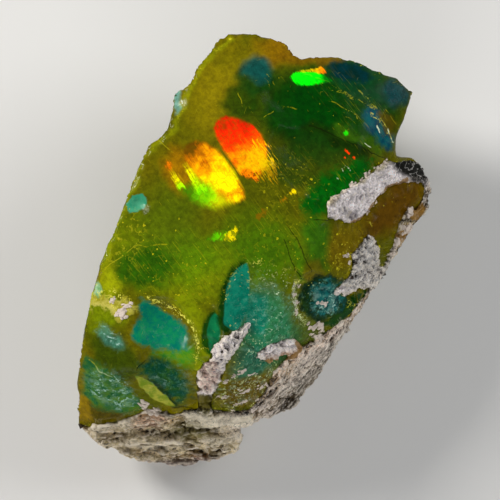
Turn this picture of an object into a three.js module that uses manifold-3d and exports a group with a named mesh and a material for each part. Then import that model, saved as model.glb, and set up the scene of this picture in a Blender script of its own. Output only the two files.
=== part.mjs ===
// Rough fire opal: a broken piece of precious opal with its host-rock rind, lying on its back.
//
// Millimetres, +Z up. The broad, polished-looking fracture face looks up. +Y runs along the
// stone towards its narrow end, and the origin is the middle of the bounding box at floor level.
//
// The stone is made the way it broke: a low dome is sawn to the plan outline, struck flat along
// its rims, chipped by conchoidal scars, and then parted into clear opal and chalky rind.

import * as THREE from "three";
import { mergeVertices } from "three/addons/utils/BufferGeometryUtils.js";
import Module from "manifold-3d";

const wasm = await Module();
wasm.setup();

// ---------------------------------------------------------------- driving dimensions

const THICKNESS = 13.8; // floor to the crown of the dome
const CROWN = [-3, -1]; // plan position of the crown
const DOME_RADIUS = [30, 45]; // how gently the dome falls away along X and along Y
const DOME_CELL = 1.8; // grid spacing of the domed face
const FOOT_RADIUS = 8.2; // the flat that the stone rests on
const FOOT_SQUASH = 0.85; // the flat is a little longer than wide
const FOOT_RISE = 0.16; // how steeply the underside leaves that flat
const FOOT_CURVE = 0.03; // how much steeper it gets with every millimetre

const JOINT_GAP = 0.3; // clearance between opal and rind
const RIND_SINK = 1.0; // how deep the rind's tongues are let into the opal
const RIND_PROUD = 0.35; // how far they stand above it
const UNDER_RIND = 2.2; // thickness of the rind on the underside
const UNDER_STEP = 1.6; // spacing of the steps along its edge
const UNDER_RAGGED = 0.8; // how far they stray

const FINEST = 0.02; // the grid that the finished vertices are rounded to
const DEPTH_BELOW = 5; // how far the blocks run below the floor before they are trimmed
const BLOCK_SIZE = [30, 36]; // of those blocks in plan, just past the outline
const REACH = 60; // half-size of a cutter, well past the stone
const BITE_SHARE = 0.55; // how far below its middle a scar's form meets the face
const MITRE_LIMIT = 0.5; // keeps the corners of a widened outline from running away
const SEED = 20417;

// Outline of the whole stone seen from above, anticlockwise from the left of the narrow end.
const OUTLINE = [
  [-1.7, 15.9], [-2.4, 15.6], [-2.9, 14.8], [-3.7, 13.9], [-4.1, 13.4], [-4.7, 12.1], [-5.3, 11.8],
  [-5.8, 11.5], [-5.9, 10.5], [-6.2, 9.0], [-7.0, 8.1], [-7.6, 7.9], [-8.0, 7.0], [-8.6, 5.6],
  [-9.2, 4.1], [-9.7, 2.6], [-10.5, 0.8], [-11.2, -1.2], [-11.8, -3.1], [-12.2, -5.1], [-12.6, -7.3],
  [-12.9, -9.0], [-13.0, -10.1], [-12.8, -10.7], [-13.2, -12.3], [-12.6, -13.1], [-11.2, -14.2],
  [-9.2, -15.2], [-6.8, -15.7], [-5.7, -16.0], [-4.6, -15.9], [-3.3, -15.6], [-2.1, -15.1],
  [-1.3, -14.7], [-1.0, -14.0], [-1.2, -13.4], [-0.9, -12.8], [1.1, -12.1], [2.3, -11.8],
  [3.4, -11.2], [4.6, -9.8], [5.2, -9.0], [5.8, -7.3], [7.2, -5.5], [8.7, -3.4], [9.8, -1.7],
  [10.8, -0.1], [11.9, 1.3], [12.7, 2.8], [13.1, 3.6], [13.2, 4.5], [12.8, 5.5], [12.3, 6.3],
  [11.7, 6.8], [10.2, 6.8], [10.4, 8.3], [11.2, 9.9], [11.8, 11.7], [10.5, 12.7], [7.9, 13.8],
  [6.1, 14.3], [3.2, 14.2], [2.4, 15.3], [0.7, 15.8], [-0.2, 16.0],
];

// Where the rind meets the opal along the foot and the right flank; the last five points
// close the region outside the stone.
const RIND_EDGE = [
  [-14.2, -12.7], [-12.1, -12.9], [-10.1, -12.6], [-8.7, -12.0], [-7.6, -11.6], [-5.7, -12.0],
  [-4.5, -11.7], [-2.7, -11.7], [-0.4, -11.7], [0.8, -10.5], [1.6, -8.7], [2.9, -7.4], [4.2, -6.7],
  [5.7, -5.7], [7.1, -4.7], [8.2, -3.3], [9.4, -1.6], [10.1, -0.2], [10.5, 1.2], [11.1, 2.9],
  [12.1, 3.2], [12.8, 4.6], [12.6, 5.5], [14.5, 7.4], [15.9, -0.7], [9.3, -10.9], [-1.0, -17.5],
  [-14.2, -17.5],
];

// Tongues of rind that run from that edge over the clear face.
const TONGUES = [
  // the broad slab across the right shoulder
  [
    [5.4, 2.5], [5.4, 3.4], [5.7, 3.9], [7.1, 4.7], [8.3, 5.4], [9.4, 6.5], [10.6, 6.5], [12.0, 6.7],
    [13.1, 5.2], [13.7, 4.5], [12.8, 4.3], [12.4, 5.1], [11.2, 5.2], [9.9, 4.8], [9.0, 4.0],
    [8.2, 2.8], [7.3, 2.1], [6.1, 2.4],
  ],
  // the pointed slab below it
  [
    [8.4, 1.2], [9.0, 0.7], [9.2, 0.1], [9.1, -1.0], [9.9, -1.4], [9.0, -2.7], [7.7, -2.6], [6.5, -3.3],
    [5.9, -3.0], [6.4, -2.4], [7.3, -1.5], [7.3, -0.3],
  ],
  // the splinter that climbs from the foot
  [
    [-0.1, -5.1], [-0.7, -6.2], [-1.4, -7.3], [-2.0, -8.1], [-2.4, -9.2], [-3.2, -10.8], [-3.0, -12.2],
    [-4.0, -12.2], [-3.9, -10.8], [-4.0, -8.9], [-3.9, -8.4], [-3.4, -8.0], [-2.9, -7.9],
    [-3.0, -7.1], [-2.2, -6.4],
  ],
  // the small lens beside the flank
  [
    [0.1, -7.6], [1.2, -6.8], [2.1, -6.5], [2.8, -6.5], [3.7, -7.0], [3.6, -7.9], [2.3, -7.4], [1.2, -8.0],
  ],
];

// The part of the underside that keeps its rind.
const UNDER_RIND_REGION = [
  [-14, -17], [-11.5, -8.5], [-6.5, -5.0], [-2.5, 0.5], [1.5, 4.5], [6.5, 6.0], [14, 8], [16, -2],
  [9, -12], [-1, -18],
];

// Flat faces struck along the upper side: where each one starts on the dome, the compass
// direction that it faces (0 along +X, 90 along +Y) and its slope from the horizontal.
const UPPER_FACES = [
  { name: "narrow end", at: [1.0, 14.2], facing: 66, slope: 34 },
  { name: "far right bevel", at: [6.4, 11.8], facing: 63, slope: 33 },
  { name: "right tip", at: [9.3, 9.6], facing: -10, slope: 42 },
  { name: "right shoulder", at: [8.8, 3.2], facing: -12, slope: 34 },
  { name: "right flank", at: [5.4, -2.6], facing: -40, slope: 30 },
  { name: "left shelf", at: [-9.9, -6.1], facing: 236, slope: 21 },
  { name: "left corner", at: [-10.3, -8.7], facing: 232, slope: 40 },
  { name: "lower face", at: [-3.0, -8.2], facing: 278, slope: 31 },
];

// The same for the bevels along the foot and the flank, each through this point at height z.
const BEVELS = [
  { name: "foot", at: [-5.5, -15.9], z: 3.4, facing: 270, slope: 50 },
  { name: "foot corner", at: [-12.4, -13.7], z: 5.0, facing: 228, slope: 58 },
  { name: "lower flank", at: [4.9, -9.4], z: 4.6, facing: -42, slope: 56 },
  { name: "flank", at: [9.3, -2.5], z: 5.2, facing: -33, slope: 72 },
];

// The undercut sides, which lean in towards the base.
const UNDERCUTS = [
  { name: "narrow end", at: [-0.2, 16.0], z: 9.0, facing: 94, slope: 124 },
  { name: "left shoulder", at: [-5.6, 11.2], z: 11.0, facing: 146, slope: 122 },
  { name: "left side", at: [-9.7, 2.6], z: 11.4, facing: 158, slope: 116 },
  { name: "left corner", at: [-12.8, -7.6], z: 5.8, facing: 176, slope: 114 },
  { name: "foot corner", at: [-12.9, -13.3], z: 5.0, facing: 212, slope: 124 },
  { name: "foot", at: [-5.7, -16.0], z: 3.4, facing: 272, slope: 128 },
  { name: "flank", at: [5.6, -8.3], z: 4.6, facing: -38, slope: 124 },
  { name: "right side", at: [11.3, 0.7], z: 5.6, facing: -30, slope: 118 },
  { name: "right shoulder", at: [13.2, 4.5], z: 6.4, facing: 4, slope: 118 },
  { name: "right tip", at: [11.8, 11.7], z: 7.4, facing: 18, slope: 116 },
  { name: "far right", at: [7.0, 14.1], z: 8.2, facing: 74, slope: 122 },
];

// Conchoidal scars: plan position, half-width, half-length, depth below the faces, how far the
// long axis is turned from +Y, and how far the bowl is tipped, which steepens one side of it.
const SCARS = [
  { name: "crescent", at: [-0.7, -3.5], half: [1.5, 3.0], depth: 0.95, turn: -12, tip: -20 },
  { name: "great scar", at: [1.3, -5.6], half: [3.3, 3.6], depth: 1.25, turn: 22, tip: -15 },
  { name: "leaf", at: [-3.0, -5.8], half: [0.85, 2.1], depth: 0.6, turn: 4, tip: -14 },
  { name: "left scar", at: [-6.7, -5.8], half: [2.2, 2.6], depth: 0.95, turn: 47, tip: 15 },
  { name: "under the blade", at: [-5.9, -9.2], half: [1.9, 3.1], depth: 1.15, turn: 42, tip: 8 },
  { name: "pocket", at: [5.0, -3.6], half: [1.8, 2.0], depth: 1.2, turn: 0, tip: 0 },
  { name: "flank chip", at: [6.9, -3.9], half: [0.9, 1.9], depth: 0.6, turn: -42, tip: 0 },
  { name: "ledge", at: [6.1, 6.2], half: [2.4, 4.4], depth: 0.7, turn: 67, tip: 15 },
  { name: "upper hollow", at: [5.0, 9.9], half: [1.7, 4.0], depth: 0.4, turn: 64, tip: 7 },
];

// Small flat-sided chips, laid out in the same way.
const CHIPS = [
  { name: "left rim chip", at: [-8.5, 3.5], half: [1.1, 0.75], depth: 0.55, turn: -32, tip: 0 },
  { name: "upper rim chip", at: [-5.6, 11.0], half: [0.8, 1.0], depth: 0.5, turn: -30, tip: 0 },
  { name: "vein hollow", at: [-10.3, -6.4], half: [0.6, 1.4], depth: 0.4, turn: 50, tip: 0 },
  { name: "corner chip", at: [-11.6, -10.6], half: [0.9, 1.5], depth: 0.5, turn: 20, tip: 0 },
  { name: "white rim chip", at: [3.2, -3.6], half: [0.5, 0.9], depth: 0.4, turn: 24, tip: 0 },
  { name: "tip chip", at: [10.2, 9.2], half: [0.8, 1.3], depth: 0.5, turn: -10, tip: 0 },
];

// Scars on the broken sides below: the point that each is aimed at from outside, the compass
// direction and slope of its side, its half-height and half-width, and its depth.
const SIDE_SCARS = [
  { name: "left shoulder", aim: [-2.0, 6.0, 6.6], facing: 148, slope: 118, half: [3.4, 4.6], depth: 0.9 },
  { name: "left side", aim: [-5.0, -2.0, 5.4], facing: 164, slope: 114, half: [3.6, 5.4], depth: 0.9 },
  { name: "left corner", aim: [-7.0, -8.0, 4.6], facing: 196, slope: 116, half: [2.6, 3.6], depth: 0.7 },
  { name: "narrow end", aim: [0.0, 9.0, 5.4], facing: 98, slope: 118, half: [3.0, 4.2], depth: 1.0 },
  { name: "far right", aim: [5.0, 8.0, 4.4], facing: 66, slope: 118, half: [2.8, 3.8], depth: 0.9 },
  { name: "right tip", aim: [4.0, 7.0, 5.0], facing: 8, slope: 112, half: [2.6, 2.8], depth: 0.8 },
  { name: "flank", aim: [3.0, -5.0, 3.6], facing: -42, slope: 112, half: [1.6, 3.6], depth: 0.6 },
  { name: "foot", aim: [-6.0, -10.0, 2.4], facing: 262, slope: 118, half: [1.4, 3.4], depth: 0.6 },
];

// Rows of crevices in the rind: the plan line that they are aimed at from outside, at height z,
// the compass direction and slope of the side that they open on, their number and their scale.
const CREVICE_ROWS = [
  { from: [-11.2, -12.9], to: [-2.0, -13.2], z: 6.2, facing: 270, slope: 60, count: 5, scale: 1 },
  { from: [-11.6, -13.0], to: [-1.8, -13.4], z: 4.6, facing: 270, slope: 75, count: 6, scale: 1 },
  { from: [-10.6, -13.2], to: [-2.4, -13.6], z: 3.0, facing: 270, slope: 100, count: 5, scale: 1 },
  { from: [-9.8, -13.4], to: [-2.6, -13.6], z: 1.4, facing: 270, slope: 115, count: 4, scale: 0.9 },
  { from: [0.8, -11.4], to: [10.2, -1.0], z: 6.8, facing: -42, slope: 60, count: 5, scale: 0.8 },
  { from: [0.6, -11.0], to: [11.2, 0.8], z: 5.0, facing: -42, slope: 80, count: 7, scale: 1 },
  { from: [1.0, -10.6], to: [11.4, 1.6], z: 3.2, facing: -40, slope: 100, count: 6, scale: 1 },
  { from: [1.0, -10.0], to: [10.4, 1.0], z: 1.4, facing: -40, slope: 115, count: 4, scale: 0.9 },
  { from: [7.0, 3.4], to: [12.6, 5.6], z: 9.0, facing: 300, slope: 8, count: 4, scale: 0.35 },
  { from: [-3.4, -9.8], to: [-1.0, -6.2], z: 11.0, facing: 200, slope: 10, count: 3, scale: 0.3 },
  { from: [7.2, -2.2], to: [8.4, 0.4], z: 9.0, facing: 300, slope: 8, count: 2, scale: 0.3 },
  { from: [-8.0, -10.0], to: [1.0, -2.0], z: 0.6, facing: 270, slope: 180, count: 5, scale: 0.8 },
];

// ---------------------------------------------------------------- small helpers

const radians = THREE.MathUtils.degToRad;
const UP = new THREE.Vector3(0, 0, 1);

/** A repeatable random number source. */
function randomSource(seed) {
  let state = seed;
  return () => {
    state = (Math.imul(state, 1664525) + 1013904223) >>> 0;
    return state / 2 ** 32;
  };
}

/** A closed three.js geometry as a manifold solid. */
function solid(geometry) {
  geometry.deleteAttribute("normal");
  geometry.deleteAttribute("uv");
  const merged = mergeVertices(geometry, 1e-4);
  return new wasm.Manifold(
    new wasm.Mesh({
      numProp: 3,
      vertProperties: merged.getAttribute("position").array,
      triVerts: new Uint32Array(merged.index.array),
    }),
  );
}

/** A manifold solid as a closed geometry whose vertices lie on a fine grid, without slivers. */
function settledGeometry(made) {
  const data = made.getMesh();
  const place = Float32Array.from(data.vertProperties, (value) => Math.round(value / FINEST) * FINEST);
  const raw = new THREE.BufferGeometry();
  raw.setAttribute("position", new THREE.BufferAttribute(place, 3));
  raw.setIndex(new THREE.BufferAttribute(data.triVerts, 1));
  const geometry = mergeVertices(raw, FINEST / 2);
  const corners = geometry.index.array;
  const kept = new Map();
  for (let i = 0; i < corners.length; i += 3) {
    const triangle = [corners[i], corners[i + 1], corners[i + 2]];
    const key = [...triangle].sort((a, b) => a - b).join();
    if (new Set(triangle).size < 3) continue;
    // Two triangles on the same corners are a folded sliver, and both go.
    if (!kept.delete(key)) kept.set(key, triangle);
  }
  geometry.setIndex([...kept.values()].flat());
  geometry.computeVertexNormals();
  return geometry;
}

/** A manifold solid as a named, coloured mesh. */
function meshOf(name, made, material) {
  const mesh = new THREE.Mesh(settledGeometry(made), material);
  mesh.name = name;
  return mesh;
}

/** The plan polygon moved outwards by a distance, with mitred corners. */
function widened(points, distance) {
  const outwards = Math.sign(THREE.ShapeUtils.area(points.map(([x, y]) => ({ x, y }))));
  const normals = points.map(([x, y], i) => {
    const [nextX, nextY] = points[(i + 1) % points.length];
    return new THREE.Vector2(nextY - y, x - nextX).normalize().multiplyScalar(outwards);
  });
  return points.map(([x, y], i) => {
    const [before, after] = [normals[(i + points.length - 1) % points.length], normals[i]];
    const reach = distance / Math.max(MITRE_LIMIT, 1 + before.dot(after));
    return [x + (before.x + after.x) * reach, y + (before.y + after.y) * reach];
  });
}

/** An upright prism over a plan polygon. */
function prism(points, low = -1, high = THICKNESS + 4) {
  const shape = new THREE.Shape(points.map(([x, y]) => new THREE.Vector2(x, y)));
  const geometry = new THREE.ExtrudeGeometry(shape, { depth: high - low, bevelEnabled: false });
  return solid(geometry.translate(0, 0, low));
}

/** The outward normal of a face from its compass direction and slope. */
function faceNormal({ facing, slope }) {
  const flat = Math.sin(radians(slope));
  const [x, y] = [flat * Math.cos(radians(facing)), flat * Math.sin(radians(facing))];
  return new THREE.Vector3(x, y, Math.cos(radians(slope)));
}

/** Everything on the outer side of the face through a point. */
function outside(face, point) {
  const normal = faceNormal(face);
  const turn = new THREE.Quaternion().setFromUnitVectors(UP, normal);
  const centre = new THREE.Vector3(...point).addScaledVector(normal, REACH);
  const block = new THREE.BoxGeometry(2 * REACH, 2 * REACH, 2 * REACH);
  return solid(block.applyQuaternion(turn).translate(centre.x, centre.y, centre.z));
}

// ---------------------------------------------------------------- the unbroken surfaces

/** Height of the domed face before anything is struck off it. */
function domeHeight(x, y) {
  const [dx, dy] = [x - CROWN[0], y - CROWN[1]];
  return THICKNESS - dx ** 2 / (2 * DOME_RADIUS[0]) - dy ** 2 / (2 * DOME_RADIUS[1]);
}

/** Height of the underside: flat in the middle, lifting towards the rims. */
function footHeight(x, y) {
  const past = Math.max(0, Math.hypot(x, y * FOOT_SQUASH) - FOOT_RADIUS);
  return past * FOOT_RISE + FOOT_CURVE * past ** 2;
}

/** Height of the face with its flats, where the scars are struck. */
function struckHeight(x, y) {
  const heights = UPPER_FACES.map((face) => {
    const normal = faceNormal(face);
    const [px, py] = face.at;
    return domeHeight(px, py) - (normal.x * (x - px) + normal.y * (y - py)) / normal.z;
  });
  return Math.min(domeHeight(x, y), ...heights);
}

/** Upper surface of the rind that is left on the underside. */
function sheetHeight(x, y) {
  return UNDER_RIND + 0.5 * Math.sin(0.62 * x + 0.3 * y) + 0.35 * Math.sin(0.9 * y - 0.5 * x + 2);
}

/** A closed block whose top and bottom grids follow two height functions. */
function terrainBlock(top, bottom, cell) {
  const [wide, long] = BLOCK_SIZE;
  const box = new THREE.BoxGeometry(wide, long, 1, Math.round(wide / cell), Math.round(long / cell), 1);
  const place = box.getAttribute("position");
  for (let i = 0; i < place.count; i++) {
    const height = place.getZ(i) > 0 ? top : bottom;
    place.setZ(i, height(place.getX(i), place.getY(i)));
  }
  return solid(box);
}

// ---------------------------------------------------------------- what breaks off

/** Half-height of the form that leaves a scar of this depth. */
function bowlHeight(depth) {
  return depth / (1 - BITE_SHARE);
}

/** A unit form scaled so that a face cuts it to this half-size at this depth. */
function biteForm(form, half, depth) {
  const widen = 1 / Math.sqrt(1 - BITE_SHARE ** 2);
  return form.scale(half[0] * widen, half[1] * widen, bowlHeight(depth));
}

/** What a scar takes out of the upper surface: a bowl, or a flat-sided chip. */
function bite({ at, half, depth, turn, tip }, rise, form) {
  const [x, y] = at;
  const middle = struckHeight(x, y) + rise - depth + bowlHeight(depth);
  biteForm(form, half, depth).rotateY(radians(tip)).rotateZ(radians(turn));
  return solid(form.translate(x, y, middle));
}

/** Where a line that comes in from outside, towards the aim, meets the surface, if it does. */
function surfacePoint(target, aim, outward) {
  const start = aim.clone().addScaledVector(outward, REACH);
  const [hit] = new THREE.Raycaster(start, outward.clone().negate()).intersectObject(target);
  return hit?.point;
}

/** Everything under the struck and scarred face, with that face moved up by a rise. */
function underFace(rise) {
  let made = terrainBlock((x, y) => domeHeight(x, y) + rise, () => -DEPTH_BELOW, DOME_CELL);
  for (const face of UPPER_FACES) {
    const [x, y] = face.at;
    made = made.subtract(outside(face, [x, y, domeHeight(x, y) + rise]));
  }
  for (const bevel of BEVELS) {
    made = made.subtract(outside(bevel, [...bevel.at, bevel.z + rise]));
  }
  for (const scar of SCARS) {
    const bowl = new THREE.SphereGeometry(1, 26, 12).rotateX(Math.PI / 2);
    made = made.subtract(bite(scar, rise, bowl));
  }
  for (const chip of CHIPS) {
    made = made.subtract(bite(chip, rise, new THREE.DodecahedronGeometry(1)));
  }
  return made;
}

/** The whole stone with its upper face moved up by a rise. */
function stone(rise) {
  let made = underFace(rise).intersect(prism(OUTLINE));
  made = made.subtract(terrainBlock(footHeight, () => -2 * DEPTH_BELOW, DOME_CELL));
  for (const side of UNDERCUTS) {
    made = made.subtract(outside(side, [...side.at, side.z]));
  }
  const target = new THREE.Mesh(settledGeometry(made));
  for (const scar of SIDE_SCARS) {
    const outward = faceNormal(scar);
    const point = surfacePoint(target, new THREE.Vector3(...scar.aim), outward);
    const bowl = biteForm(new THREE.SphereGeometry(1, 20, 10), scar.half, scar.depth);
    bowl.rotateZ(radians(scar.facing));
    bowl.applyQuaternion(new THREE.Quaternion().setFromUnitVectors(UP, outward));
    const centre = point.addScaledVector(outward, bowlHeight(scar.depth) - scar.depth);
    made = made.subtract(solid(bowl.translate(centre.x, centre.y, centre.z)));
  }
  return made;
}

/** A plan polygon with its sides broken into short, uneven steps. */
function ragged(points, step, size) {
  const random = randomSource(SEED + points.length);
  return points.flatMap(([x, y], i) => {
    const [nextX, nextY] = points[(i + 1) % points.length];
    const parts = Math.max(1, Math.round(Math.hypot(nextX - x, nextY - y) / step));
    return Array.from({ length: parts }, (_, k) => [
      THREE.MathUtils.lerp(x, nextX, k / parts) + size * (random() - 0.5),
      THREE.MathUtils.lerp(y, nextY, k / parts) + size * (random() - 0.5),
    ]);
  });
}

/** Where rind replaces opal, grown by a clearance. */
function rindRegion(clearance) {
  const region = widened(ragged(UNDER_RIND_REGION, UNDER_STEP, UNDER_RAGGED), clearance);
  const sheet = terrainBlock((x, y) => sheetHeight(x, y) + clearance, () => -1, 2);
  return prism(widened(RIND_EDGE, clearance)).add(sheet.intersect(prism(region)));
}

/** The tongues' outlines cut down to the bed that they are let into. */
function tongueBeds(clearance) {
  const bed = underFace(-RIND_SINK - clearance);
  const tongues = TONGUES.map((points) => prism(widened(points, clearance)).subtract(bed));
  return tongues.reduce((sum, next) => sum.add(next));
}

/** A thin, uneven lens lying along +X. */
function unevenLens(random, scale) {
  const around = (middle, spread) => middle + spread * (random() - 0.5);
  const fineness = scale > 0.9 ? 1 : 0;
  const ball = new THREE.IcosahedronGeometry(scale, fineness).deleteAttribute("normal").deleteAttribute("uv");
  const lens = mergeVertices(ball);
  const place = lens.getAttribute("position");
  for (let i = 0; i < place.count; i++) {
    const swell = around(1, 0.5);
    place.setXYZ(i, place.getX(i) * swell, place.getY(i) * swell, place.getZ(i) * swell);
  }
  return lens.scale(around(1.5, 1.4), around(0.6, 0.4), around(0.36, 0.28)).rotateX(around(0, 0.7));
}

/** Weathered crevices that open on the sides of the rind and follow its layers. */
function crevices(rock) {
  const random = randomSource(SEED);
  const target = new THREE.Mesh(settledGeometry(rock));
  const cuts = [];
  for (const row of CREVICE_ROWS) {
    const outward = faceNormal(row);
    for (let i = 0; i < row.count; i++) {
      const t = (i + 0.2 + 0.6 * random()) / row.count;
      const aim = new THREE.Vector3(
        THREE.MathUtils.lerp(row.from[0], row.to[0], t),
        THREE.MathUtils.lerp(row.from[1], row.to[1], t),
        row.z + 1.5 * (random() - 0.5),
      );
      const lens = unevenLens(random, row.scale);
      lens.rotateZ(radians(row.facing + 90 + 24 * (random() - 0.5)));
      const point = surfacePoint(target, aim, outward);
      if (point) cuts.push(solid(lens.translate(point.x, point.y, point.z)));
    }
  }
  return cuts;
}

// ---------------------------------------------------------------- the two pieces

/** The clear body: everything that is not rind, less a thin joint along it. */
function makeOpal(whole) {
  const clear = whole.subtract(rindRegion(JOINT_GAP)).subtract(tongueBeds(JOINT_GAP));
  const largest = clear.decompose().sort((a, b) => b.volume() - a.volume())[0];
  const material = new THREE.MeshStandardMaterial({ color: 0x8a8a10, roughness: 0.18, metalness: 0 });
  material.transparent = true;
  material.opacity = 0.85;
  return meshOf("opal", largest, material);
}

/** The rind: foot, flank and underside with the tongues, weathered by crevices. */
function makeHostRock(whole) {
  const tongues = tongueBeds(0).intersect(stone(RIND_PROUD));
  let rock = whole.intersect(rindRegion(0)).add(tongues);
  for (const crevice of crevices(rock)) {
    rock = rock.subtract(crevice);
  }
  const largest = rock.decompose().sort((a, b) => b.volume() - a.volume())[0];
  const material = new THREE.MeshStandardMaterial({ color: 0xb9a48f, roughness: 0.95, metalness: 0 });
  return meshOf("host_rock", largest, material);
}

const whole = stone(0);
const roughOpal = new THREE.Group();
roughOpal.name = "rough_fire_opal";
roughOpal.add(makeOpal(whole), makeHostRock(whole));

// The origin is set on the middle of the finished stone, at the floor.
const reach = new THREE.Box3().setFromObject(roughOpal);
const middle = reach.getCenter(new THREE.Vector3());
roughOpal.position.set(-middle.x, -middle.y, -reach.min.z);

export default roughOpal;
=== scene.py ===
"""Rough fire opal: the dressed stone, its floor, its lights and its camera.

Lengths inside this script are in millimetres until a mesh is handed to Blender, which works in
metres. The clear opal and its chalky rind are each grown from their own CAD solid: remeshed
finely, eased where the solid is faceted, and then worked with the relief that the break and the
weather left.
"""

import logging
import math
from collections.abc import Sequence
from dataclasses import dataclass, field
from enum import Enum
from functools import cached_property, partial, reduce

import bpy
import numpy as np
from mathutils import Matrix, Vector
from mathutils.bvhtree import BVHTree

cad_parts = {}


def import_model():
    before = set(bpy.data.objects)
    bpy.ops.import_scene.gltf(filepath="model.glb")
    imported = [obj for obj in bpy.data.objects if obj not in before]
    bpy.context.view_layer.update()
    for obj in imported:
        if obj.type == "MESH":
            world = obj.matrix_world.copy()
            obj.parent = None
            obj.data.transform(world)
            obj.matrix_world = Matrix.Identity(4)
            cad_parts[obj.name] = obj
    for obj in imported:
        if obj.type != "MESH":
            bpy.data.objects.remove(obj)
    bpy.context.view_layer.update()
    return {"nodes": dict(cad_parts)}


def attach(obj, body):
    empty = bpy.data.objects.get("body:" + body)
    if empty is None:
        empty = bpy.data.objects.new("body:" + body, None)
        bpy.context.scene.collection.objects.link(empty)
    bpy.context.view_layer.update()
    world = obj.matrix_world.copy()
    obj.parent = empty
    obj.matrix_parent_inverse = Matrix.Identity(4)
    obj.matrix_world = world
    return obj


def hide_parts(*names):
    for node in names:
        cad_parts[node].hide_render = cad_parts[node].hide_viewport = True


MM = 0.001
LOG = logging.getLogger("rough_opal")

Array = np.ndarray
Place = tuple[float, float]
Triple = tuple[float, float, float]
Colour = Triple
Line = tuple[Place, ...]

# The point of the frame that all shapes in plan are measured from.
DATUM = (0.15, 0.0, 0.0)


# ---- noise in numpy


class Grain:
    """Repeatable three-dimensional noise for relief."""

    def __init__(self, seed: int) -> None:
        """Draws the noise's own table of directions.

        Args:
            seed: Any whole number; the same one gives the same noise.
        """
        source = np.random.default_rng(seed)
        self.table = np.tile(source.permutation(256), 3)
        self.directions = unit(source.normal(size=(256, 3)))
        self.offsets = source.random((256, 3))

    def _hash(self, cells: Array) -> Array:
        """Returns a number from 0 to 255 for each whole-numbered cell."""
        x, y, z = (cells % 256).T
        return self.table[self.table[self.table[x] + y] + z]

    def smooth(self, points: Array) -> Array:
        """Gradient noise.

        Args:
            points: Places, one row each, in units of the noise's own cell.

        Returns:
            One value for each place, mostly within -1 and 1.
        """
        base = np.floor(points).astype(int)
        inner = points - base
        fade = inner**3 * (inner * (inner * 6 - 15) + 10)
        total = np.zeros(len(points))
        for corner in np.ndindex(2, 2, 2):
            step = np.array(corner)
            slope = self.directions[self._hash(base + step)]
            reach = np.einsum("ij,ij->i", slope, inner - step)
            total += reach * np.prod(np.where(step == 1, fade, 1 - fade), axis=1)
        return total * 1.6

    def layered(self, points: Array, octaves: int = 4, keep: float = 0.5) -> Array:
        """Sums finer and finer noise.

        Args:
            points: Places, one row each.
            octaves: How many layers are summed.
            keep: How much of one layer's strength the next one has.

        Returns:
            One value for each place, mostly within -1 and 1.
        """
        total, strength, norm = np.zeros(len(points)), 1.0, 0.0
        for octave in range(octaves):
            total += strength * self.smooth(points * 2.03**octave + 17.3 * octave)
            norm += strength
            strength *= keep
        return total / norm

    def cells(self, points: Array) -> tuple[Array, Array, Array]:
        """Cellular noise.

        Args:
            points: Places, one row each, in units of the cell.

        Returns:
            The distance to the nearest seed, a value from 0 to 1 that belongs to that seed, and
            the height of a plane that is tilted about it.
        """
        base = np.floor(points).astype(int)
        nearest = np.full(len(points), 9.0)
        owner = np.zeros(len(points))
        tilt = np.zeros(len(points))
        for corner in np.ndindex(3, 3, 3):
            cell = base + np.array(corner) - 1
            code = self._hash(cell)
            apart = cell + self.offsets[code] - points
            away = np.linalg.norm(apart, axis=1)
            nearer = away < nearest
            owner = np.where(nearer, code / 255.0, owner)
            tilt = np.where(nearer, np.einsum("ij,ij->i", self.directions[code], apart), tilt)
            nearest = np.where(nearer, away, nearest)
        return nearest, owner, tilt

    def drift(self, points: Array, cell: float, reach: float) -> Array:
        """Returns the points moved about by noise of the given cell size and reach."""
        moves = [self.layered(points / cell + 31.7 * axis, 3) for axis in range(3)]
        return points + reach * np.stack(moves, axis=1)


def unit(vectors: Array) -> Array:
    """Returns the vectors at length one."""
    return vectors / np.maximum(np.linalg.norm(vectors, axis=-1, keepdims=True), 1e-12)


def ramp(values: Array, low: float, high: float) -> Array:
    """Smoothly takes values from 0 at low to 1 at high, which may be below low."""
    share = np.clip((values - low) / (high - low), 0.0, 1.0)
    return share * share * (3 - 2 * share)


def washed(ground: Array, colour: Colour, share: Array) -> Array:
    """Returns a ground colour with a share of another colour laid over it, for each place."""
    return ground * (1 - share[:, None]) + np.array(colour) * share[:, None]


# ---- shapes in plan


def line_distance(line: Sequence[Place], flat: Array) -> Array:
    """How far places in plan lie from a bent line.

    Args:
        line: The line's points in order.
        flat: Places in plan, one row each.

    Returns:
        The distance of each place.
    """
    nearest = np.full(len(flat), np.inf)
    for start, end in zip(line, line[1:]):
        away, along = flat - np.array(start), np.subtract(end, start)
        share = np.clip(away @ along / (along @ along), 0, 1)[:, None]
        nearest = np.minimum(nearest, np.linalg.norm(away - share * along, axis=1))
    return nearest


def outline_offset(corners: Sequence[Place], place: Array) -> Array:
    """How far places lie outside a closed outline, seen from above.

    Args:
        corners: The outline's corners in order.
        place: Places, one row each.

    Returns:
        The distance to the outline, below 0 inside it.
    """
    flat = place[:, :2]
    inside = np.zeros(len(flat), dtype=bool)
    closed = (*corners, corners[0])
    for start, end in zip(closed, closed[1:]):
        along, away = np.subtract(end, start), flat - np.array(start)
        crosses = (start[1] > flat[:, 1]) != (end[1] > flat[:, 1])
        rise = along[1] if along[1] else 1e-9
        inside ^= crosses & (away[:, 0] < away[:, 1] * along[0] / rise)
    nearest = line_distance(closed, flat)
    return np.where(inside, -nearest, nearest)


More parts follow.
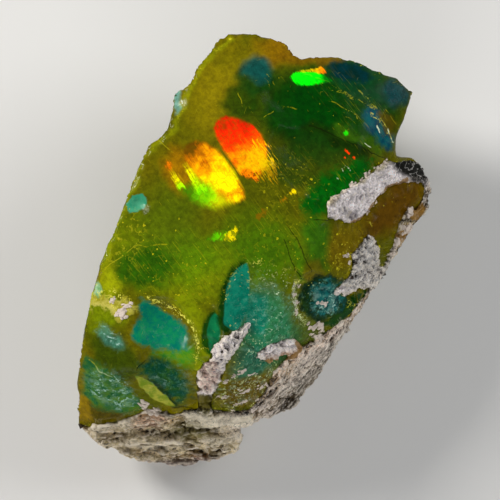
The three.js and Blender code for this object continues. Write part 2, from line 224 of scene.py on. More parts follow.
def line_offset(lines: Sequence[Line], place: Array) -> tuple[Array, Array]:
    """Where places lie beside the nearest of some bent lines, seen from above.

    Args:
        lines: The lines, each a row of points.
        place: Places, one row each.

    Returns:
        How far each place lies to the left of its nearest line, and how far past its end. Midway
        between two lines the second number is large, so that no false line shows there.
    """
    flat = place[:, :2]
    nearest = np.full(len(flat), np.inf)
    second = nearest.copy()
    side, past = np.zeros(len(flat)), np.zeros(len(flat))
    for line in lines:
        second = np.minimum(second, np.maximum(nearest, line_distance(line, flat)))
        for index, (start, end) in enumerate(zip(line, line[1:])):
            along = np.subtract(end, start)
            length = np.hypot(*along)
            away = flat - np.array(start)
            run = away @ along / length
            left = (away[:, 1] * along[0] - away[:, 0] * along[1]) / length
            before, after = np.maximum(-run, 0), np.maximum(run - length, 0)
            total = np.hypot(left, before + after)
            ends = before * (index == 0) + after * (index == len(line) - 2)
            nearer = total < nearest
            nearest = np.where(nearer, total, nearest)
            side, past = np.where(nearer, left, side), np.where(nearer, ends, past)
    between = ramp(second - nearest, 0.45, 0.2) * ramp(nearest, 0.08, 0.16)
    return side, past + between


@dataclass(frozen=True)
class Spot:
    """A soft-edged ellipse in plan."""

    centre: Place
    half: Place
    turn: float = 0.0
    soft: float = 0.8

    def share(self, place: Array) -> Array:
        """How much of the ellipse covers each place.

        Args:
            place: Places, one row each.

        Returns:
            1 inside and 0 outside.
        """
        turn = math.radians(self.turn)
        away = place[:, :2] - np.array(self.centre)
        along = away @ np.array([math.cos(turn), math.sin(turn)]) / self.half[0]
        across = away @ np.array([-math.sin(turn), math.cos(turn)]) / self.half[1]
        return ramp(np.hypot(along, across), 1 + self.soft / 2, 1 - self.soft / 2)


@dataclass(frozen=True)
class Band:
    """A soft band along a bent line in plan."""

    line: Line
    width: float

    def share(self, place: Array) -> Array:
        """Returns 1 on the line and 0 beyond the band, for each place."""
        return ramp(line_distance(self.line, place[:, :2]), self.width, 0.1 * self.width)


@dataclass(frozen=True)
class Stain:
    """A shape in plan that takes a colour."""

    name: str
    shape: Spot | Band
    colour: Colour
    strength: float = 0.9


@dataclass(frozen=True)
class Dusting:
    """A shape in plan that is dusted with flecks."""

    name: str
    shape: Spot | Band
    amount: float


def stained(ground: Array, stains: Sequence[Stain], place: Array) -> Array:
    """Lays stains over a ground colour.

    Args:
        ground: The colour of each place so far.
        stains: What is laid over it, in order.
        place: Places, one row each.

    Returns:
        The new colours.
    """
    for stain in stains:
        ground = washed(ground, stain.colour, stain.shape.share(place) * stain.strength)
    return ground


def dusted(dustings: Sequence[Dusting], place: Array, least: float = 0.0) -> Array:
    """Returns the strongest dusting at each place, or least where there is none."""
    shares = [dusting.shape.share(place) * dusting.amount for dusting in dustings]
    return np.max([np.full(len(place), least), *shares], axis=0)


# ---- fine surfaces


@dataclass
class FineSurface:
    """A closed surface of small quads, held as arrays in millimetres."""

    points: Array
    quads: Array
    neighbours: Array = field(init=False)
    edges: Array = field(init=False)
    degree: Array = field(init=False)

    def __post_init__(self) -> None:
        """Works out which quads share a side and how many sides meet at each point."""
        starts = self.quads.ravel()
        ends = np.roll(self.quads, -1, axis=1).ravel()
        low, high = np.minimum(starts, ends), np.maximum(starts, ends)
        key = low.astype(np.int64) * len(self.points) + high
        order = np.argsort(key, kind="stable")
        pairs = order[: len(order) // 2 * 2].reshape(-1, 2)
        partner = np.empty(len(order), dtype=int)
        partner[pairs[:, 0]] = pairs[:, 1] // 4
        partner[pairs[:, 1]] = pairs[:, 0] // 4
        self.neighbours = partner.reshape(-1, 4)
        self.edges = np.stack([low[pairs[:, 0]], high[pairs[:, 0]]], axis=1)
        self.degree = np.bincount(self.edges.ravel(), minlength=len(self.points))

    @classmethod
    def of_solid(cls, solid: bpy.types.Object, cell: float) -> "FineSurface":
        """Remeshes a CAD solid into an even skin of small quads.

        Args:
            solid: The CAD node.
            cell: Length of a quad's side.

        Returns:
            The new surface.
        """
        mesh = solid.data.copy()
        mesh.transform(solid.matrix_world)
        mesh.transform(Matrix.Diagonal((1 / MM, 1 / MM, 1 / MM, 1)))
        holder = bpy.data.objects.new("remesh_" + solid.name, mesh)
        bpy.context.scene.collection.objects.link(holder)
        skin = holder.modifiers.new("skin", "REMESH")
        skin.mode = "VOXEL"
        skin.voxel_size = cell
        skin.adaptivity = 0.0
        ready = holder.evaluated_get(bpy.context.evaluated_depsgraph_get())
        fine = bpy.data.meshes.new_from_object(ready)
        points = np.empty(len(fine.vertices) * 3)
        fine.vertices.foreach_get("co", points)
        corners = np.empty(len(fine.loops), dtype=np.int32)
        fine.loops.foreach_get("vertex_index", corners)
        bpy.data.objects.remove(holder)
        bpy.data.meshes.remove(mesh)
        bpy.data.meshes.remove(fine)
        return cls(points.reshape(-1, 3), corners.reshape(-1, 4).astype(int))

    def plan(self) -> Array:
        """Returns the points as measured from the datum."""
        return self.points - np.array(DATUM)

    def facings(self) -> Array:
        """Returns the quads' normals, each as long as its quad's area."""
        corners = self.points[self.quads]
        return np.cross(corners[:, 2] - corners[:, 0], corners[:, 3] - corners[:, 1]) / 2

    def normals(self) -> Array:
        """Returns the points' unit normals."""
        return unit(self._gather(np.repeat(self.facings(), 4, axis=0)))

    def _gather(self, vectors: Array) -> Array:
        """Returns the sum, at each point, of the vectors of the quads' corners there."""
        corners = self.quads.ravel()
        return np.stack([np.bincount(corners, part, len(self.points)) for part in vectors.T], axis=1)

    def ease(self, rounds: int, spread: float, moves: int) -> None:
        """Smooths shallow facets away and keeps the real ridges.

        Args:
            rounds: How many times the normals are averaged with their neighbours.
            spread: How different two normals may be and still be averaged.
            moves: How many times the points then follow the normals.
        """
        normals = unit(self.facings())
        for _ in range(rounds):
            around = normals[self.neighbours]
            gap = np.sum((around - normals[:, None]) ** 2, axis=2)
            weight = np.exp(-gap / (2 * spread**2))[..., None]
            normals = unit(normals + np.sum(around * weight, axis=1))
        count = np.bincount(self.quads.ravel(), minlength=len(self.points))[:, None]
        for _ in range(moves):
            corners = self.points[self.quads]
            lift = np.einsum("ij,ij->i", normals, corners.mean(axis=1))[:, None] * normals
            along = np.einsum("ij,ikj->ik", normals, corners)[..., None] * normals[:, None]
            pull = self._gather(np.repeat(lift, 4, axis=0)) - self._gather(along.reshape(-1, 3))
            self.points = self.points + pull / count

    def around(self, values: Array) -> Array:
        """Returns the mean of one number over the neighbours of each point."""
        a, b = self.edges.T
        size = len(self.points)
        return (np.bincount(a, values[b], size) + np.bincount(b, values[a], size)) / self.degree

    def spread_out(self, values: Array, rounds: int) -> Array:
        """Returns a number of each point, blurred over the given rings of points."""
        for _ in range(rounds):
            values = 0.5 * values + 0.5 * self.around(values)
        return values

    def bulge(self, rounds: int = 3) -> Array:
        """How sharply the surface sticks out.

        Args:
            rounds: How far the answer is blurred.

        Returns:
            One number for each point: above 0 on a ridge and below 0 in a groove.
        """
        middle = np.stack([self.around(part) for part in self.points.T], axis=1)
        height = np.einsum("ij,ij->i", self.normals(), self.points - middle)
        return self.spread_out(height, rounds)

    def raise_by(self, height: Array) -> None:
        """Moves each point outwards by its height, and never below the floor."""
        self.points = self.points + self.normals() * height[:, None]
        self.points[:, 2] = np.maximum(self.points[:, 2], 0.0)

    def tree(self) -> BVHTree:
        """Returns a search tree of the surface."""
        return BVHTree.FromPolygons(self.points.tolist(), self.quads.tolist())

    def distance_to(self, other: BVHTree, reach: float) -> Array:
        """Returns each point's distance to another surface, or reach where it's further off."""
        found = [other.find_nearest(point, reach) for point in self.points.tolist()]
        return np.array([reach if hit[0] is None else hit[3] for hit in found])

    def close_on(self, other: BVHTree, reach: float, gap: float) -> None:
        """Draws the points near another surface up to it.

        Args:
            other: The other surface.
            reach: How near a point must be to be drawn.
            gap: The distance that is left.
        """
        for index, point in enumerate(self.points.tolist()):
            nearest, _, _, away = other.find_nearest(point, reach)
            if nearest is not None and away > gap:
                self.points[index] += (np.array(nearest) - point) * (1 - gap / away)

    def make(self, name: str, marks: dict[str, Array], tint: Array) -> bpy.types.Object:
        """Hands the surface to Blender.

        Args:
            name: The new object's name.
            marks: Named numbers for each point, which the finishes read.
            tint: The ground colour of each point.

        Returns:
            The new object, in metres.
        """
        mesh = bpy.data.meshes.new(name)
        mesh.from_pydata((self.points * MM).tolist(), [], self.quads.tolist())
        mesh.update()
        mesh.shade_smooth()
        for mark, values in marks.items():
            layer = mesh.attributes.new(mark, "FLOAT", "POINT")
            layer.data.foreach_set("value", values.astype(np.float32))
        layer = mesh.attributes.new("tint", "FLOAT_COLOR", "POINT")
        opaque = np.column_stack([tint, np.ones(len(tint))])
        layer.data.foreach_set("color", opaque.astype(np.float32).ravel())
        made = bpy.data.objects.new(name, mesh)
        bpy.context.scene.collection.objects.link(made)
        return made


# ---- node helpers


Socket = bpy.types.NodeSocket
Feed = Socket | float | tuple[float, ...]


class NodeSheet:
    """A material's node tree, with short ways to add what the finishes need."""

    def __init__(self, name: str) -> None:
        """Starts an empty material.

        Args:
            name: The material's name.
        """
        self.material = bpy.data.materials.new(name)
        self.material.use_nodes = True
        self.tree = self.material.node_tree
        self.tree.nodes.clear()
        self.output = self.tree.nodes.new("ShaderNodeOutputMaterial")

    def feed(self, socket: Socket, value: Feed) -> None:
        """Links a socket to another, or sets its value.

        Args:
            socket: The socket that is fed.
            value: Another node's output, a number or a colour.
        """
        if isinstance(value, Socket):
            self.tree.links.new(value, socket)
        elif hasattr(socket.default_value, "__len__") and len(socket.default_value) == 4:
            socket.default_value = (*value[:3], 1.0)
        else:
            socket.default_value = value

    def add(self, kind: str, feeds: dict[int | str, Feed], **settings: object) -> bpy.types.Node:
        """Adds a node.

        Args:
            kind: The node's type.
            feeds: What its inputs get, by name or by place.
            **settings: The node's own options.

        Returns:
            The new node.
        """
        node = self.tree.nodes.new(kind)
        for name, value in settings.items():
            setattr(node, name, value)
        for key, value in feeds.items():
            self.feed(node.inputs[key], value)
        return node

    @cached_property
    def where(self) -> Socket:
        """The place on the stone, in millimetres from the datum."""
        scaled = self.vector("SCALE", self.add("ShaderNodeTexCoord", {}).outputs["Object"], factor=1 / MM)
        return self.vector("SUBTRACT", scaled, DATUM)

    def shifted(self, by: Triple) -> Socket:
        """Returns the place on the stone moved by a fixed amount, so that its noise is another."""
        return self.vector("ADD", self.where, by)

    def mark(self, name: str) -> Socket:
        """Returns a number that the mesh carries for each point."""
        return self.add("ShaderNodeAttribute", {}, attribute_name=name).outputs["Fac"]

    def tint(self) -> Socket:
        """Returns the ground colour that the mesh carries for each point."""
        return self.add("ShaderNodeAttribute", {}, attribute_name="tint").outputs["Color"]

    def vector(self, operation: str, a: Feed, b: Feed = (0, 0, 0), factor: Feed = 1.0) -> Socket:
        """Does vector arithmetic.

        Args:
            operation: The Vector Math node's operation.
            a: The first vector.
            b: The second vector.
            factor: The scale, for SCALE.

        Returns:
            The resulting vector.
        """
        feeds = {0: a, "Scale": factor} if operation == "SCALE" else {0: a, 1: b}
        return self.add("ShaderNodeVectorMath", feeds, operation=operation).outputs["Vector"]

    def number(self, operation: str, a: Feed, b: Feed = 0.0) -> Socket:
        """Returns the result of a Math node's operation on two numbers."""
        return self.add("ShaderNodeMath", {0: a, 1: b}, operation=operation).outputs[0]

    def plus(self, a: Feed, b: Feed) -> Socket:
        """Returns the sum of two numbers."""
        return self.number("ADD", a, b)

    def times(self, a: Feed, b: Feed) -> Socket:
        """Returns the product of two numbers."""
        return self.number("MULTIPLY", a, b)

    def most(self, *values: Feed) -> Socket:
        """Returns the largest of some numbers."""
        return reduce(partial(self.number, "MAXIMUM"), values)

    def off(self, value: Feed, middle: float) -> Socket:
        """Returns how far a number is from a middle value."""
        return self.number("ABSOLUTE", self.number("SUBTRACT", value, middle))

    def rescale(
        self, value: Feed, low: float, high: float, to_low: float = 0.0, to_high: float = 1.0
    ) -> Socket:
        """Smoothly maps a number.

        Args:
            value: What is mapped.
            low: Where the result is to_low.
            high: Where the result is to_high.
            to_low: The result at low.
            to_high: The result at high.

        Returns:
            The mapped number, kept between the two results.
        """
        names = ("Value", "From Min", "From Max", "To Min", "To Max")
        feeds = dict(zip(names, (value, low, high, to_low, to_high)))
        return self.add("ShaderNodeMapRange", feeds, interpolation_type="SMOOTHSTEP").outputs["Result"]

    def noise(
        self, scale: float, detail: float = 3.0, roughness: float = 0.55, at: Feed | None = None
    ) -> Socket:
        """Makes soft noise.

        Args:
            scale: How many cells there are to a millimetre.
            detail: How many finer layers are summed.
            roughness: How strong the finer layers are.
            at: The place that is looked up, if it isn't the plain one.

        Returns:
            A number between 0 and 1.
        """
        feeds = {"Vector": self.where if at is None else at, "Scale": scale}
        feeds |= {"Detail": detail, "Roughness": roughness}
        return self.add("ShaderNodeTexNoise", feeds).outputs["Fac"]

    def tossed(self, scale: float, reach: float) -> Socket:
        """Moves the place about by noise.

        Args:
            scale: How many cells of that noise there are to a millimetre.
            reach: About twice the furthest move.

        Returns:
            The moved place.
        """
        feeds = {"Vector": self.where, "Scale": scale, "Detail": 2.0}
        node = self.add("ShaderNodeTexNoise", feeds)
        drift = self.vector("SUBTRACT", node.outputs["Color"], (0.5, 0.5, 0.5))
        return self.vector("ADD", self.where, self.vector("SCALE", drift, factor=reach))

    def cells(self, scale: float, at: Feed, feature: str = "F1") -> bpy.types.Node:
        """Returns a node of cellular noise; scale is in cells per millimetre."""
        return self.add("ShaderNodeTexVoronoi", {"Vector": at, "Scale": scale}, feature=feature)

    def mapped(
        self, half: Triple, turn: float, centre: Triple = (0, 0, 0), at: Feed | None = None
    ) -> Socket:
        """Returns the place in the axes of an ellipsoid, whose skin is at distance 1.

        Args:
            half: The ellipsoid's half-axes.
            turn: How far it is turned about +Z, in degrees.
            centre: Its middle.
            at: The place that is looked up, if it isn't the plain one.

        Returns:
            The place in the ellipsoid's own axes.
        """
        feeds = {"Vector": self.where if at is None else at, "Location": centre, "Scale": half}
        feeds["Rotation"] = (0.0, 0.0, math.radians(turn))
        return self.add("ShaderNodeMapping", feeds, vector_type="TEXTURE").outputs["Vector"]

    def blend(self, share: Feed, a: Feed, b: Feed, way: str = "MIX") -> Socket:
        """Returns two colours mixed."""
        feeds = {0: share, 6: a, 7: b}
        return self.add("ShaderNodeMix", feeds, data_type="RGBA", blend_type=way).outputs[2]

    def dimmed(self, colour: Feed, factor: Feed) -> Socket:
        """Returns a colour made darker, or lighter, by a number."""
        return self.blend(1.0, colour, self.vector("SCALE", (1, 1, 1), factor=factor), "MULTIPLY")

    def steps(self, share: Feed, stops: Sequence[tuple[float, Colour]]) -> Socket:
        """Looks a colour up.

        Args:
            share: Where it is looked up, from 0 to 1.
            stops: The colours and their positions, in order.

        Returns:
            The colour, smooth between the stops.
        """
        node = self.add("ShaderNodeValToRGB", {"Fac": share})
        band = node.color_ramp
        while len(band.elements) < len(stops):
            band.elements.new(0.5)
        for element, (position, colour) in zip(band.elements, stops):
            element.position = position
            element.color = (*colour, 1.0)
        return node.outputs["Color"]

    def bump(self, height: Feed, distance: float, strength: float, under: Feed | None = None) -> Socket:
        """Bends the normal by a height.

        Args:
            height: The height, mostly from 0 to 1.
            distance: How many millimetres a height of 1 is.
            strength: How much of the bend is taken, from 0 to 1.
            under: The normal that is bent, if it isn't the mesh's own.

        Returns:
            The bent normal.
        """
        feeds = {"Strength": strength, "Distance": distance * MM, "Height": height}
        if under is not None:
            feeds["Normal"] = under
        return self.add("ShaderNodeBump", feeds).outputs["Normal"]


def shade(red: int, green: int, blue: int) -> Colour:
    """Returns a screen colour of 0 to 255 as the linear colour that shaders take."""
    parts = (red / 255, green / 255, blue / 255)
    return tuple(part / 12.92 if part <= 0.04045 else ((part + 0.055) / 1.055) ** 2.4 for part in parts)


# ---- the opal's finish


OLIVE, AMBER = shade(80, 84, 1), shade(102, 93, 2)

STAINS = (
    Stain("mid gold", Spot((0.47, 0.04), (3.38, 2.5), -10, 1.4), shade(62, 106, 2), 0.85),
    Stain("low gold", Spot((-6.28, -0.84), (5.14, 2.2), -20, 1.4), shade(118, 142, 2), 0.65),
    Stain("centre green", Spot((-4.8, -0.4), (1.8, 1.6), 0, 1.4), shade(62, 124, 2), 0.5),
    Stain("crown amber", Spot((1.42, 14.72), (1.61, 1.17), 0, 1.2), shade(136, 98, 2), 0.85),
    Stain("crown yellow", Spot((-2.47, 11.64), (1.91, 3.23), -35, 1.4), shade(136, 120, 4), 0.8),
    Stain("left green", Spot((-6.65, 1.88), (2.5, 3.82), -25, 1.4), shade(70, 96, 4), 0.7),
    Stain("dark green right", Spot((6.4, 10.3), (4.2, 3.6), -20, 0.6), shade(2, 62, 2), 0.93),
    Stain("dark green left", Spot((-1.1, 10.8), (1.3, 1.3), 0, 0.8), shade(18, 58, 2), 0.85),
    Stain("brown green", Spot((3.3, 6.0), (2.6, 1.5), -10, 0.7), shade(34, 62, 2), 0.8),
    Stain("dark green", Spot((3.41, 10.17), (3.67, 2.94), -10, 0.9), shade(0, 60, 2), 0.97),
    Stain("dark green flap", Spot((8.2, 12.3), (3.2, 1.3), -25, 0.8), shade(6, 60, 28), 0.9),
    Stain("dark green low", Spot((5.46, 7.24), (2.94, 1.17), -20, 0.9), shade(24, 62, 6), 0.7),
    Stain("blob halo", Spot((0.0, 12.6), (1.5, 1.2), 0, 0.7), shade(0, 58, 8), 0.88),
    Stain("teal blob", Spot((0.2, 13.3), (1.05, 0.8), 0, 0.9), shade(8, 76, 72), 0.85),
    Stain("lobe amber", Spot((6.78, 0.34), (1.61, 1.91), 0, 0.9), shade(106, 88, 3), 0.85),
    Stain("lobe brown", Spot((10.16, 3.27), (3.08, 1.39), 42, 0.7), shade(86, 58, 1), 0.97),
    Stain("green run", Spot((4.43, 0.92), (0.88, 2.5), 6, 1.2), shade(28, 104, 8), 0.65),
    Stain("green blotch", Spot((-8.04, -1.13), (2.28, 1.54), 8, 0.8), shade(24, 82, 2), 0.85),
    Stain("flap tip", Spot((10.45, 11.64), (1.03, 0.95), 0, 0.7), shade(8, 58, 64), 0.85),
    Stain("foot amber", Spot((-11.42, -12.2), (2.6, 1.0), 0, 0.8), shade(74, 64, 1), 0.97),
    Stain("corner amber", Spot((-12.95, -11.7), (0.8, 1.1), 0, 0.8), shade(128, 102, 2), 0.85),
    Stain("left lime", Spot((-11.2, -4.2), (1.5, 1.7), 0, 0.8), shade(118, 146, 3), 0.55),
    Stain("edge yellow", Spot((-10.69, -2.23), (0.7, 1.1), 0, 0.9), shade(150, 158, 6), 0.85),
    Stain("green sliver", Spot((3.2, -0.9), (0.45, 1.7), 18, 0.5), shade(62, 110, 4), 0.7),
    Stain("sliver side", Spot((4.3, -1.6), (0.7, 1.2), 18, 0.6), shade(96, 78, 4), 0.6),
    Stain(
        "ridge lime", Band(((-5.2, -3.6), (-3.9, -5.2), (-3.6, -7.2), (-4.0, -8.6)), 1.0),
        shade(128, 146, 2), 0.6,
    ),
    Stain("flank olive", Spot((3.26, -6.93), (1.76, 1.47), 45, 0.8), shade(70, 84, 10), 0.8),
    Stain("great scar", Spot((0.72, -5.6), (2.1, 2.9), 14, 0.8), shade(30, 112, 70), 0.9),
    Stain("crescent bleed", Spot((0.0, -4.7), (0.8, 1.4), 0, 0.7), shade(10, 116, 92), 0.9),
    Stain("great foot", Spot((-0.41, -8.18), (1.61, 1.17), 20, 0.8), shade(14, 92, 72), 0.8),
    Stain("foot brown", Spot((-0.41, -10.38), (2.5, 1.1), 10, 0.6), shade(88, 72, 8), 0.95),
    Stain(
        "rim amber", Band(((1.9, 14.5), (3.3, 14.1), (4.6, 14.05), (6.0, 14.1)), 0.6), shade(116, 84, 2),
        0.8,
    ),
    Stain("knob", Spot((-5.69, 10.91), (0.37, 0.95), -14, 0.4), shade(112, 164, 146), 0.95),
    Stain("shelf olive", Spot((-10.2, -7.7), (2.2, 1.3), -36, 0.6), shade(50, 68, 2), 0.88),
    Stain("vein", Spot((-10.54, -6.34), (1.03, 0.44), -40, 0.7), shade(60, 130, 110), 0.6),
    # Painted shadow below the ledge line, and painted light on the raised strip above it.
    Stain(
        "ledge shade", Band(((3.85, 9.1), (5.1, 8.6), (6.6, 7.8), (8.1, 7.1)), 0.8), shade(18, 42, 0), 0.85,
    ),
    Stain("ledge light", Band(((6.2, 8.9), (7.6, 8.3), (9.1, 7.5)), 0.8), shade(56, 94, 6), 0.7),
    Stain("sheet shade", Spot((-5.1, 5.9), (1.7, 1.4), -36, 0.8), shade(156, 106, 0), 0.8),
    # Painted rim light: a thin bright band along the left outline, as if light came through the thin edge.
    Stain(
        "bright rim",
        Band(
            (
                (-1.7, 15.7), (-3.6, 14.0), (-4.9, 11.4), (-6.3, 8.5), (-7.8, 7.4), (-9.6, 3.3),
                (-11.2, -1.1),
            ),
            0.4,
        ),
        shade(150, 160, 6), 0.4,
    ),
)


@dataclass(frozen=True)
class Patch:
    """A crisp-edged region of the opal with a colour of its own."""

    name: str
    corners: Line
    colour: Colour
    second: Colour
    soft: float = 0.12
    ragged: float = 0.12

    @property
    def mark(self) -> str:
        """The name of the number that holds the distance to its edge."""
        return "edge_" + self.name.replace(" ", "_")

    def lay(self, sheet: NodeSheet, cloud: Feed, under: Feed) -> Socket:
        """Lays the patch over the colour so far.

        Args:
            sheet: The material.
            cloud: Soft noise from 0 to 1 that frays the edge and mixes the two colours.
            under: The colour so far.

        Returns:
            The new colour.
        """
        fray = sheet.rescale(cloud, 0.2, 0.8, -self.ragged, self.ragged)
        mask = sheet.rescale(sheet.plus(sheet.mark(self.mark), fray), self.soft, -self.soft)
        inner = sheet.blend(sheet.rescale(cloud, 0.35, 0.65), self.colour, self.second)
        return sheet.blend(mask, under, inner)


PATCHES = (
    Patch(
        "green band",
        (
            (3.3, 3.3), (3.4, 3.8), (4.0, 4.67), (5.15, 5.69), (6.46, 6.28), (7.77, 6.72), (8.6, 6.8),
            (8.8, 6.2), (7.77, 5.3), (6.9, 4.4), (6.0, 3.6), (5.3, 2.9), (4.09, 2.5), (3.5, 2.8),
        ),
        shade(0, 92, 6), shade(0, 72, 2), 0.4, 0.3,
    ),
    Patch(
        "flap teal",
        (
            (5.83, 12.7), (6.81, 12.4), (7.91, 12.4), (8.64, 12.64), (8.4, 13.13), (7.54, 13.68),
            (6.68, 13.87), (5.71, 13.89), (5.12, 13.56),
        ),
        shade(0, 46, 50), shade(0, 38, 32), 0.3, 0.2,
    ),
    Patch(
        "flank blue",
        (
            (7.91, 9.34), (8.4, 8.73), (9.25, 7.63), (9.93, 7.38), (10.11, 8.36), (9.62, 8.85),
            (9.25, 9.71), (8.76, 10.44), (8.15, 10.56), (7.79, 10.07),
        ),
        shade(0, 58, 76), shade(8, 90, 92), 0.3, 0.25,
    ),
    Patch(
        "flank gold",
        (
            (9.25, 9.34), (9.62, 8.73), (9.93, 8.54), (10.35, 9.34), (9.99, 9.83), (9.38, 10.2),
            (9.07, 10.01),
        ),
        shade(78, 70, 6), shade(96, 84, 8), 0.3, 0.3,
    ),
    Patch(
        "scar skirt",
        ((-7.6, -7.5), (-5.91, -8.2), (-4.69, -8.4), (-4.2, -7.8), (-4.5, -7.0), (-7.14, -7.1)),
        shade(52, 128, 24), shade(96, 138, 8), 0.5, 0.3,
    ),
    Patch(
        "left scar",
        (
            (-8.34, -3.53), (-7.7, -3.77), (-6.72, -4.34), (-5.75, -4.99), (-5.1, -5.64), (-4.94, -6.45),
            (-5.1, -7.1), (-5.58, -7.27), (-6.72, -7.1), (-7.38, -7.35), (-7.86, -6.94), (-8.68, -6.78),
            (-9.1, -6.13), (-8.84, -5.48), (-8.3, -4.67), (-8.52, -4.02),
        ),
        shade(0, 110, 92), shade(14, 134, 84), 0.22, 0.22,
    ),
    # Painted shade: the dark steep wall on the left of the leaf-shaped scar.
    Patch(
        "leaf wall",
        (
            (-2.95, -4.2), (-3.6, -4.8), (-3.95, -5.7), (-4.0, -6.7), (-3.8, -7.5), (-3.1, -7.6),
            (-2.7, -6.5), (-2.7, -5.0),
        ),
        shade(18, 62, 2), shade(30, 74, 4), 0.15, 0.1,
    ),
    Patch(
        "leaf",
        (
            (-2.95, -4.46), (-3.37, -4.95), (-3.56, -5.78), (-3.56, -6.61), (-3.37, -7.24), (-3.13, -7.3),
            (-2.78, -6.75), (-2.59, -6.2), (-2.59, -5.36), (-2.71, -4.81),
        ),
        shade(8, 100, 60), shade(16, 124, 72), 0.07, 0.07,
    ),
    # Painted shade: the dark steep wall on the left of the crescent scar.
    Patch(
        "crescent wall",
        (
            (-0.75, -0.55), (-1.7, -1.1), (-2.3, -2.0), (-2.62, -3.0), (-2.75, -4.2), (-2.8, -5.4),
            (-2.55, -6.2), (-1.5, -5.8), (-0.6, -3.0),
        ),
        shade(8, 50, 0), shade(20, 66, 2), 0.2, 0.1,
    ),
    Patch(
        "crescent",
        (
            (-0.63, -0.79), (-1.4, -1.27), (-1.88, -1.97), (-2.16, -2.87), (-2.3, -3.98), (-2.37, -5.09),
            (-2.16, -5.78), (-1.26, -5.78), (-0.57, -4.12), (-0.43, -2.04),
        ),
        shade(0, 112, 88), shade(16, 138, 108), 0.08, 0.06,
    ),
    Patch(
        "pocket side",
        (
            (4.9, -5.4), (5.6, -5.6), (6.6, -5.2), (7.6, -4.4), (8.5, -3.2), (8.0, -2.7), (6.6, -3.6),
            (5.6, -4.5),
        ),
        shade(4, 54, 8), shade(26, 62, 4), 0.2, 0.25,
    ),
    Patch(
        "pocket rim",
        (
            (3.25, -4.2), (3.7, -4.8), (4.5, -5.2), (5.4, -5.1), (6.4, -4.5), (6.9, -3.3), (6.5, -2.3),
            (5.6, -1.75), (4.4, -1.8), (3.5, -2.3), (3.1, -3.2),
        ),
        shade(4, 30, 12), shade(24, 54, 6), 0.2, 0.2,
    ),
    Patch(
        "pocket",
        (
            (4.15, -4.0), (4.6, -4.5), (5.2, -4.7), (6.1, -4.3), (6.5, -3.4), (6.1, -2.5), (5.4, -2.15),
            (4.75, -2.3), (4.25, -2.8), (4.05, -3.4),
        ),
        shade(20, 96, 92), shade(4, 50, 50), 0.3, 0.4,
    ),
    Patch(
        "rough patch",
        (
            (-12.16, -3.85), (-11.92, -3.36), (-11.11, -3.36), (-10.3, -3.52), (-9.48, -3.52),
            (-8.76, -4.09), (-9.0, -4.5), (-9.97, -5.06), (-10.46, -4.65), (-11.11, -4.17), (-12.08, -4.17),
        ),
        shade(150, 144, 30), shade(206, 196, 96), 0.2, 0.5,
    ),
    Patch(
        "rim glass", ((-11.75, -2.2), (-11.4, -2.3), (-11.2, -2.9), (-11.45, -3.25), (-11.85, -3.1)),
        shade(104, 160, 100), shade(176, 204, 160), 0.12, 0.2,
    ),
    Patch(
        "chip facet",
        (
            (-9.29, 2.76), (-8.63, 2.83), (-8.04, 3.2), (-7.9, 3.79), (-8.26, 4.15), (-9, 4.01),
            (-9.44, 3.42),
        ),
        shade(44, 140, 104), shade(70, 158, 120), 0.06, 0.1,
    ),
    Patch(
        "corner face",
        (
            (-12.57, -7.51), (-11.4, -8.3), (-10.3, -9.05), (-9.0, -10.35), (-8.19, -11.33), (-8.6, -11.75),
            (-9.6, -11.9), (-10.9, -11.75), (-11.9, -11.4), (-12.6, -10.5),
        ),
        shade(24, 84, 44), shade(72, 112, 30), 0.25, 0.25,
    ),
    Patch(
        "blade hollow",
        (
            (-8.54, -9.01), (-7.99, -9.38), (-6.89, -10.17), (-5.91, -11.15), (-5.43, -11.33),
            (-4.69, -10.48), (-5.18, -9.01), (-6.4, -8.03), (-7.5, -7.79), (-8.36, -8.27),
        ),
        shade(4, 66, 46), shade(34, 80, 22), 0.5, 0.35,
    ),
    # Painted shadow where the hollow meets the raised edge of the blade.
    Patch(
        "blade shade",
        ((-7.9, -9.35), (-7.2, -9.6), (-6.3, -10.5), (-5.6, -11.4), (-6.2, -11.4), (-6.9, -10.6)),
        shade(8, 44, 20), shade(20, 52, 8), 0.15, 0.1,
    ),
    Patch(
        "blade",
        (
            (-8.8, -9.15), (-8.34, -9.2), (-7.5, -9.75), (-6.6, -10.6), (-5.9, -11.35), (-6.4, -11.35),
            (-7.4, -11.0), (-7.9, -10.5), (-8.5, -9.9),
        ),
        shade(104, 128, 24), shade(164, 162, 56), 0.06, 0.1,
    ),
)
